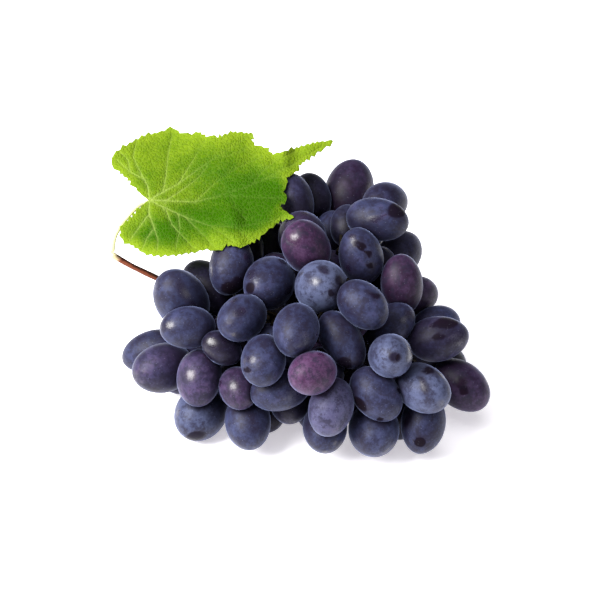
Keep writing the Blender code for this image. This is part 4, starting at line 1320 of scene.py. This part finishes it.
def model_berry(name, sides, bands):
    """One berry of half width and half length 1, with its tip's scar and its seat for the stalk."""
    deselect_all()
    bpy.ops.mesh.primitive_uv_sphere_add(segments=sides, ring_count=bands, radius=1.0)
    berry = bpy.context.active_object
    berry.name = name
    for sign, push in END_PUSHES:
        bpy.ops.object.mode_set(mode="EDIT")
        bpy.ops.mesh.select_mode(type="VERT")
        bpy.ops.mesh.select_all(action="DESELECT")
        bpy.ops.object.mode_set(mode="OBJECT")
        for vertex in berry.data.vertices:
            vertex.select = sign * vertex.co.z > END_HEIGHT
        bpy.ops.object.mode_set(mode="EDIT")
        bpy.ops.transform.translate(value=(0, 0, -sign * push))
        bpy.ops.object.mode_set(mode="OBJECT")
    bpy.ops.object.shade_smooth()
    return berry


def mark_values(points, facing, spots):
    """Strength of the rubbed spots at each point of a berry, and how brown they are there."""
    across, down, _ = to_view(points)
    rubbed = np.zeros(len(points))
    brown = np.zeros(len(points))
    for x, y, long, wide, lean, strength, brownness in spots:
        turn = math.radians(lean)
        dx, dy = across - x, y - down
        along = dx * math.cos(turn) + dy * math.sin(turn)
        beside = dy * math.cos(turn) - dx * math.sin(turn)
        away = np.sqrt((along / long) ** 2 + (beside / wide) ** 2)
        fade = SHARP_SPOT_FADE if brownness > SHARP_SPOT_BROWN else SPOT_REACH
        nearness = np.clip((SPOT_REACH - away) / fade, 0, 1)
        value = strength * nearness**2 * (3 - 2 * nearness) * facing
        brown = np.where(value > rubbed, brownness, brown)
        rubbed = np.maximum(rubbed, value)
    return rubbed, brown


def touch_share(points, number, berries):
    """How nearly each point of a berry touches another berry, from 0 to 1."""
    share = np.zeros(len(points))
    for other, (centre, axis, half_wide, half_long) in enumerate(berries):
        away = np.linalg.norm(points.mean(axis=0) - centre)
        if other == number or away > NEIGHBOUR_REACH:
            continue
        offset = points - centre
        along = offset @ axis
        beside = np.linalg.norm(offset - along[:, None] * axis, axis=1)
        size = np.sqrt((along / half_long) ** 2 + (beside / half_wide) ** 2)
        gap = (1 - 1 / size) * np.linalg.norm(offset, axis=1)
        share = np.maximum(share, np.clip(1 - gap / TOUCH_REACH, 0, 1))
    return share


def copy_berry(model, number, berries, look, seen):
    """A copy of the berry at its place, a little uneven, with the values that its skin reads."""
    chance = np.random.default_rng(100 + number)
    centre, axis, half_wide, half_long = berries[number]
    mesh = model.data.copy()
    unit = points_of(mesh)
    wobble = np.ones(len(unit))
    for _ in range(4):
        wave = chance.normal(0, 1, 3)
        height = chance.uniform(*WAVE_HEIGHT)
        wobble += height * np.sin(unit @ wave * 2.2 + chance.uniform(0, 6.3))
    stretch = 1 + chance.uniform(-MOST_STRETCH, MOST_STRETCH, 3)
    taper = 1 - chance.uniform(*TAPER) * unit[:, 2]
    shaped = unit * stretch * wobble[:, None]
    shaped[:, 0] *= half_wide * taper
    shaped[:, 1] *= half_wide * taper
    shaped[:, 2] *= half_long
    turn = np.array(Vector((0, 0, 1)).rotation_difference(Vector(axis)).to_matrix())
    spin = chance.uniform(0, 2 * math.pi)
    around = np.array(Matrix.Rotation(spin, 3, "Z"))
    swell = FULLER_BERRIES.get(number, 1.0 if seen else BACK_SWELL)
    placed = centre + swell * shaped @ around.T @ turn.T
    placed[:, 2] = np.maximum(placed[:, 2], FLOOR_SINK + 0.02)
    outward = (unit @ around.T @ turn.T) @ TOWARD
    spots = RUBBED_SPOTS if seen else ()
    near = [spot for spot in spots if spot_owner(spot) == number]
    rubbed, brown = mark_values(placed, np.clip(outward * 2, 0, 1), near)
    round_unit = unit / np.linalg.norm(unit, axis=1, keepdims=True)
    out = centre - BUNCH_MIDDLE
    out = (out / np.linalg.norm(out)) @ turn @ around
    for k in range(3 + chance.integers(0, 3)):
        direction = chance.normal(0, 1, 3) * 0.7 + (out * 1.6 if k == 0 else 0)
        direction /= np.linalg.norm(direction)
        angle = np.arccos(np.clip(round_unit @ direction, -1, 1))
        size, strength = (chance.uniform(*span) for span in (SMALL_PATCH if k else OUTER_PATCH))
        rubbed = np.maximum(rubbed, strength * np.clip(1.5 - angle / size, 0, 1))
    set_points(mesh, to_metres(placed))
    place = unit * [1, 1, BERRY_LENGTH_OVER_WIDTH] + chance.uniform(-50, 50, 3)
    add_vectors(mesh, "berry_place", place)
    for name, value in zip(("purple", "bloom", "darkness_and_shade"), look):
        add_values(mesh, name, np.full(len(unit), value))
    add_values(mesh, "rubbed", rubbed)
    add_values(mesh, "brown", brown)
    # Where a berry touches another or faces into the bunch, its bloom goes and its skin is darkened
    # as painted shade.
    start, share = INWARD_SEEN if seen else INWARD_HIDDEN
    inner = np.clip(start - unit @ out, 0, 1) * share
    add_values(mesh, "contact_wear_and_shade", np.maximum(touch_share(placed, number, berries), inner))
    add_vectors(mesh, "berry_unit", round_unit)
    obj = bpy.data.objects.new(f"berry_{number}", mesh)
    bpy.context.scene.collection.objects.link(obj)
    return obj


def spot_owner(spot):
    """Number of the seen berry that shows at this spot."""
    covers = covered_by(np.array([float(spot[0])]), np.array([float(spot[1])]))[0]
    depths = np.where(covers, to_view(whole_layout()["seen"][0])[2], -FAR)
    return int(np.argmax(depths)) if covers.any() else -1


def join(parts, name):
    """Makes one object of the parts."""
    only(parts[0])
    for part in parts:
        part.select_set(True)
    bpy.ops.object.join()
    joined = bpy.context.active_object
    joined.name = name
    joined.data.name = name
    return joined


def dress(obj, material, nodes):
    """Gives a piece its finish, keeps it inside the solids' box and ties it to the frame."""
    obj.data.materials.clear()
    obj.data.materials.append(material)
    set_points(obj.data, np.clip(points_of(obj.data), solid_bounds[0], solid_bounds[1]))
    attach(obj, "root")
    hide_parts(*nodes)


class GRAPES_OT_berries(bpy.types.Operator):
    """Models the berries"""

    bl_idname = "grapes.berries"
    bl_label = "Berries"

    def execute(self, context):
        layout = whole_layout()
        berries = list(zip(*layout["berries"]))
        size = sizes()
        skin = berry_material()
        model = model_berry("berry_model", size.berry_sides, size.berry_bands)
        back_model = model_berry("back_berry_model", size.hidden_sides, size.hidden_bands)
        chance = np.random.default_rng(SEED)
        front = []
        for number in range(len(layout["seen"][0])):
            look = BERRY_LOOKS.get(SEEN_BERRIES[number][0], COMMON_LOOK)
            front.append(copy_berry(model, number, berries, look, True))
        back = []
        for number in range(len(front), len(berries)):
            # Every hidden berry gets a little painted shade as its darkness.
            look = (chance.uniform(0, 0.6), chance.uniform(0.35, 0.8), 0.2)
            back.append(copy_berry(back_model, number, berries, look, False))
        for obj in (model, back_model):
            bpy.data.objects.remove(obj)
        dress(join(front, "berries_front"), skin, ["berries"])
        dress(join(back, "berries_back"), skin, ["berries"])
        return {"FINISHED"}


def face_outward(obj):
    """Turns the faces of a mesh outwards."""
    only(obj)
    bpy.ops.object.mode_set(mode="EDIT")
    bpy.ops.mesh.select_all(action="SELECT")
    bpy.ops.mesh.normals_make_consistent(inside=False)
    bpy.ops.object.mode_set(mode="OBJECT")


def rods(name, lines, sides_level):
    """Round rods along lines of points with a radius at each, made from one bevelled curve."""
    deselect_all()
    bpy.ops.curve.primitive_bezier_curve_add()
    obj = bpy.context.active_object
    obj.name = name
    curve = obj.data
    curve.splines.clear()
    curve.dimensions = "3D"
    curve.bevel_depth = 0.001
    curve.bevel_resolution = sides_level
    curve.use_fill_caps = True
    for points, radii in lines:
        spline = curve.splines.new("POLY")
        spline.points.add(len(points) - 1)
        for spot, point, radius in zip(spline.points, to_metres(points), radii):
            spot.co = (*point, 1.0)
            spot.radius = radius
    only(obj)
    bpy.ops.object.convert(target="MESH")
    obj = bpy.context.active_object
    face_outward(obj)
    bpy.ops.object.shade_smooth_by_angle(angle=math.radians(50))
    return obj


class GRAPES_OT_stem(bpy.types.Operator):
    """Models the main stem, its branches and the berries' stalks"""

    bl_idname = "grapes.stem"
    bl_label = "Stem"

    def execute(self, context):
        way = even_path(STEM_WAY, 70)
        share = np.linspace(0, 1, len(way))
        radii = np.interp(share, (0, 0.18, 0.35, 1), STEM_RADII) * 0.97
        radii *= 1 + 0.04 * np.sin(share * 60) - 0.02
        radii *= 1 + 0.12 * np.exp(-share * 60)
        main = rods("main_stem", [(way, radii)], 3)
        lines = []
        berries = whole_layout()["berries"]
        for points, radius in whole_layout()["branches"]:
            thick = np.full(len(points), radius * 0.95)
            x, y, depth = to_view(points)
            skin = berry_front(x, y, berries) - STALK_SUNK
            sunk = (depth > skin) & (depth < skin + DEEPEST_MOVE)
            points = at_view(x, y, np.where(sunk, skin, depth))
            if radius <= PEDICEL_RADIUS * 1.01:
                thick[-1] *= 1.5
            lines.append((points, thick))
        web = rods("berry_stalks", lines, 1)
        finish = stem_material()
        for obj, branch_shade in ((main, 0.0), (web, 1.0)):
            # The stalks and the part of the main stem inside the bunch get the painted shade.
            across = points_of(obj.data)[:, 0] * 1000 + ORIGIN_IN_LAYOUT[0]
            from_end = across - STEM_WAY[0][0]
            inner = np.clip((from_end - SHOWN_STEM) / SHADE_LENGTH, 0, 0.95)
            add_values(obj.data, "branch_shade", np.maximum(inner, branch_shade))
            add_values(obj.data, "cut", np.clip(CUT_END - from_end, 0, 1))
            dress(obj, finish, ["stem"])
        return {"FINISHED"}


def jagged_edge(chance):
    """The blade's edge with uneven teeth: each short stretch is pushed out near its end."""
    tooth = sizes().tooth_length * 1000 / MM_PER_PIXEL
    outline = [np.array(p, float) for p in LEAF_EDGE]
    points = []
    for start, end in zip(outline, outline[1:] + outline[:1]):
        length = np.linalg.norm(end - start)
        out = np.array([end[1] - start[1], start[0] - end[0]]) / max(length, 1e-6)
        pieces = max(1, round(length / chance.uniform(*TOOTH_SPACING)))
        cuts = np.linspace(0, 1, pieces + 1)
        cuts[1:-1] += chance.uniform(-0.25, 0.25, pieces - 1) / pieces
        near_notch = np.linalg.norm((start + end) / 2 - np.array(LEAF_EDGE[0])) < NOTCH_REACH
        for low, high in zip(cuts, cuts[1:]):
            points.append(tuple(start + (end - start) * low))
            if not near_notch:
                tip = start + (end - start) * (low + (high - low) * TOOTH_TIP)
                points.append(tuple(tip + out * tooth * chance.uniform(*TOOTH_PUSH)))
    return points


def smooth_sheet(across, down, berries):
    """The blade's depth: the solid leaf's, read on a grid, evened out and read at each point."""
    low, shape = SHEET_CORNER, SHEET_SHAPE
    grid_x = low[0] + np.arange(shape[1]) * SHEET_CELL
    grid_y = low[1] + np.arange(shape[0]) * SHEET_CELL
    x, y = np.meshgrid(grid_x, grid_y)
    weight = spread_mask(inside_edge(x, y, LEAF_EDGE), 1).astype(float)
    depth = leaf_depth(x, y, berries) * weight
    bell = np.exp(-0.5 * (np.arange(-6, 7) / SHEET_BLUR) ** 2)
    for axis in (0, 1):
        depth = np.apply_along_axis(np.convolve, axis, depth, bell, "same")
        weight = np.apply_along_axis(np.convolve, axis, weight, bell, "same")
    depth /= np.maximum(weight, 1e-9)
    column = np.clip((across - low[0]) / SHEET_CELL, 0, shape[1] - 1.001)
    row = np.clip((down - low[1]) / SHEET_CELL, 0, shape[0] - 1.001)
    i, j = row.astype(int), column.astype(int)
    u, v = row - i, column - j
    near = depth[i, j] * (1 - v) + depth[i, j + 1] * v
    far = depth[i + 1, j] * (1 - v) + depth[i + 1, j + 1] * v
    return near * (1 - u) + far * u


def segment_distance(across, down, start, end):
    """Distance from each point to a straight stretch, and how far along it the nearest spot is."""
    dx, dy = end[0] - start[0], end[1] - start[1]
    x, y = across - start[0], down - start[1]
    t = np.clip((x * dx + y * dy) / max(dx * dx + dy * dy, 1e-9), 0, 1)
    return np.hypot(x - t * dx, y - t * dy), t


def vein_distance(across, down):
    """Distance in pixels from each point to the nearest vein, less the vein's half width there."""
    best = np.full(np.shape(across), FAR)
    for width, line in LEAF_VEINS:
        run = np.linspace(1.0, 0.45, len(line))
        for k, (start, end) in enumerate(zip(line, line[1:])):
            away, t = segment_distance(across, down, start, end)
            half = 0.5 * width * (run[k] + (run[k + 1] - run[k]) * t)
            best = np.minimum(best, away - half)
    return best


def edge_distance(across, down, outline):
    """Distance in pixels from each point to the outline."""
    best = np.full(np.shape(across), FAR)
    for start, end in zip(outline, outline[1:] + outline[:1]):
        best = np.minimum(best, segment_distance(across, down, start, end)[0])
    return best


def blade_points(outline):
    """Points of the blade: its edge, three rows along each vein and an even grid between them."""
    points = list(outline)
    for width, line in LEAF_VEINS:
        vein = even_line(np.array([(x, y, 0.0) for x, y in line]), VEIN_STEP)[:, :2]
        along = np.gradient(vein, axis=0)
        along /= np.linalg.norm(along, axis=1, keepdims=True)
        side = np.stack([-along[:, 1], along[:, 0]], axis=1)
        taper = np.linspace(1.0, 0.5, len(vein))[:, None]
        for offset in (0.0, 1.0, -1.0):
            spots = vein + side * offset * (0.5 * width * taper + VEIN_SIDE)
            points += [tuple(spot) for spot in spots if inside_edge(spot[0], spot[1], outline)]
    across = np.array([p[0] for p in points])
    down = np.array([p[1] for p in points])
    for row, y in enumerate(np.arange(BLADE_LOW[1], BLADE_HIGH[1], BLADE_CELL * 0.866)):
        shift = BLADE_CELL * 0.5 * (row % 2)
        for x in np.arange(BLADE_LOW[0] + shift, BLADE_HIGH[0], BLADE_CELL):
            near = np.hypot(across - x, down - y).min()
            if near > BLADE_CELL * 0.45 and inside_edge(x, y, outline):
                points.append((x, y))
    return points


def mark_blade(mesh, x, y, to_vein, to_edge):
    """Gives the blade the values that its finish reads."""
    add_vectors(mesh, "blade_place", np.stack([x, y, np.zeros(len(x))], axis=1))
    from_notch = np.hypot(x - LEAF_EDGE[0][0], y - LEAF_EDGE[0][1])
    faint = np.clip(1.15 - from_notch / 70, 0.12, 1)
    add_values(mesh, "vein", faint * np.clip(1 - np.maximum(to_vein, 0) / VEIN_FALL, 0, 1))
    add_values(mesh, "edge", np.exp(-to_edge / EDGE_FALL))
    # The blade's lightness, less the darker patches, which are partly painted shade.
    lightness_and_shade = np.full(len(x), BARE_LIGHT)
    for spot_x, spot_y, wide, tall, drop in LEAF_DARK_SPOTS:
        lightness_and_shade -= 1.5 * drop * np.exp(-(((x - spot_x) / wide) ** 2) - ((y - spot_y) / tall) ** 2)
    add_values(mesh, "lightness_and_shade", lightness_and_shade)


class GRAPES_OT_leaf(bpy.types.Operator):
    """Models the leaf's blade with its teeth and veins"""

    bl_idname = "grapes.leaf"
    bl_label = "Leaf"

    def execute(self, context):
        size = sizes()
        chance = np.random.default_rng(SEED)
        outline = jagged_edge(chance)
        edges = [(k, (k + 1) % len(outline)) for k in range(len(outline))]
        points = [Vector(p) for p in blade_points(outline)]
        made = delaunay_2d_cdt(points, edges, [], 1, 0.001)
        spots = np.array([tuple(p) for p in made[0]])
        x, y = spots[:, 0], spots[:, 1]
        berries = whole_layout()["berries"]
        depth = smooth_sheet(x, y, berries)
        depth = np.maximum(depth, berry_front(x, y, berries) + BLADE_CLEARANCE)
        to_vein = vein_distance(x, y)
        to_edge = edge_distance(x, y, outline)
        sunk = np.exp(-np.maximum(to_vein, 0) / VEIN_SOFTNESS) * size.vein_depth * 1000
        puff = np.clip(to_vein / PUFF_REACH, 0, 1) ** 0.7 * PUFF_HEIGHT
        puff *= np.clip(to_edge / EDGE_REACH, 0, 1)
        ripple = RIPPLE_HEIGHT * np.sin(x * 0.42 + 2.0 * np.sin(y * 0.11))
        ripple *= np.sin(y * 0.5 + 1.5 * np.sin(x * 0.13))
        ripple *= np.clip(to_vein / RIPPLE_REACH, 0, 1) * 0.6
        depth = depth - sunk + puff + ripple - BLADE_SETTLE
        upper = at_view(x, y, depth)
        mesh = bpy.data.meshes.new("leaf_blade")
        faces = [tuple(face) for face in made[2]]
        mesh.from_pydata([tuple(p) for p in to_metres(upper)], [], faces)
        mesh.update()
        mark_blade(mesh, x, y, to_vein, to_edge)
        obj = bpy.data.objects.new("leaf_blade", mesh)
        context.scene.collection.objects.link(obj)
        face_outward(obj)
        if mesh.polygons[0].normal.z < 0:
            mesh.flip_normals()
        count = len(mesh.vertices)
        solid = obj.modifiers.new("thickness", "SOLIDIFY")
        solid.thickness = size.blade_thickness
        solid.offset = -1.0
        bpy.ops.object.modifier_apply(modifier=solid.name)
        under = np.arange(len(obj.data.vertices)) >= count
        add_values(obj.data, "under", under)
        bpy.ops.object.shade_smooth_by_angle(angle=math.radians(60))
        dress(obj, leaf_material(), ["leaf"])
        return {"FINISHED"}


def stalk_line(berries):
    """The leaf stalk's middle line, from the stem's end to the notch under the leaf."""
    rows = np.array(STALK_WAY, float)
    depth = leaf_depth(rows[:, 0], rows[:, 1], berries) - rows[:, 2]
    stem_end = to_view(np.array(STEM_WAY[0], float))[2]
    to_stem = stem_end + STALK_BEFORE_STEM - STALK_TOUCH - depth[0]
    depth += to_stem * np.linspace(1, 0, len(rows)) ** 4
    return even_path(at_view(rows[:, 0], rows[:, 1], depth), 30)


class GRAPES_OT_leaf_stalk(bpy.types.Operator):
    """Models the thin stalk of the leaf"""

    bl_idname = "grapes.leaf_stalk"
    bl_label = "Leaf stalk"

    def execute(self, context):
        line = stalk_line(whole_layout()["berries"])
        share = np.linspace(0, 1, len(line))
        radii = STALK_RADIUS * (0.95 + 0.25 * np.exp(-share * 12) + 0.15 * np.exp((share - 1) * 12))
        stalk = rods("leaf_stalk_fine", [(line, np.minimum(radii, STALK_RADIUS * 1.05))], 3)
        dress(stalk, stalk_material(), ["leaf_stalk"])
        return {"FINISHED"}


def add_area_light(name, place, size, power, colour):
    deselect_all()
    bpy.ops.object.light_add(type="AREA", location=place)
    lamp = bpy.context.active_object
    lamp.name = name
    lamp.data.shape = "DISK"
    lamp.data.size = size
    lamp.data.energy = power
    lamp.data.color = colour
    away = Vector(place) - Vector(LIT_POINT)
    lamp.rotation_euler = away.to_track_quat("Z", "Y").to_euler()
    return lamp


class GRAPES_OT_stage(bpy.types.Operator):
    """Sets up the floor, the lights and the camera"""

    bl_idname = "grapes.stage"
    bl_label = "Stage"

    def execute(self, context):
        deselect_all()
        bpy.ops.mesh.primitive_plane_add(size=FLOOR_WIDTH, location=(0, 0, -FLOOR_DROP))
        floor = context.active_object
        floor.name = "floor"
        floor.data.materials.append(floor_material())
        world = context.scene.world or bpy.data.worlds.new("studio")
        context.scene.world = world
        world.use_nodes = True
        sky = world.node_tree.nodes["Background"]
        sky.inputs["Color"].default_value = (1.0, 1.0, 1.0, 1.0)
        sky.inputs["Strength"].default_value = SKY_STRENGTH
        lamps = {row[0]: add_area_light(*row) for row in LIGHTS}
        lamps["ceiling"].visible_glossy = False
        deselect_all()
        bpy.ops.object.camera_add(location=to_metres(EYE))
        camera = context.active_object
        camera.rotation_euler = Vector(TOWARD).to_track_quat("Z", "Y").to_euler()
        camera.data.sensor_width = SENSOR_MM
        camera.data.lens = SENSOR_MM * VIEW_RANGE / (2 * MIDDLE_PIXEL * MM_PER_PIXEL)
        camera.data.clip_start = 0.01
        context.scene.camera = camera
        context.scene.view_settings.view_transform = "Standard"
        return {"FINISHED"}


class GRAPES_PT_panel(bpy.types.Panel):
    """Lists the pieces of the bunch"""

    bl_idname = "GRAPES_PT_panel"
    bl_label = "Bunch of Grapes"
    bl_space_type = "VIEW_3D"
    bl_region_type = "UI"
    bl_category = "Grapes"

    def draw(self, context):
        for group in (context.scene.grape_sizes, context.scene.grape_colours):
            for name in group.__annotations__:
                self.layout.prop(group, name)
        for operator in STEPS:
            self.layout.operator(operator.bl_idname)


STEPS = (GRAPES_OT_berries, GRAPES_OT_stem, GRAPES_OT_leaf, GRAPES_OT_leaf_stalk, GRAPES_OT_stage)
CLASSES = (GrapeBunchSizes, GrapeBunchColours, *STEPS, GRAPES_PT_panel)


def register():
    for item in CLASSES:
        bpy.utils.register_class(item)
    bpy.types.Scene.grape_sizes = bpy.props.PointerProperty(type=GrapeBunchSizes)
    bpy.types.Scene.grape_colours = bpy.props.PointerProperty(type=GrapeBunchColours)


def unregister():
    del bpy.types.Scene.grape_sizes
    del bpy.types.Scene.grape_colours
    for item in reversed(CLASSES):
        bpy.utils.unregister_class(item)


def main():
    register()
    bpy.ops.grapes.berries()
    bpy.ops.grapes.stem()
    bpy.ops.grapes.leaf()
    bpy.ops.grapes.leaf_stalk()
    bpy.ops.grapes.stage()
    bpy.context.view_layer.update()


if __name__ == "__main__":
    main()
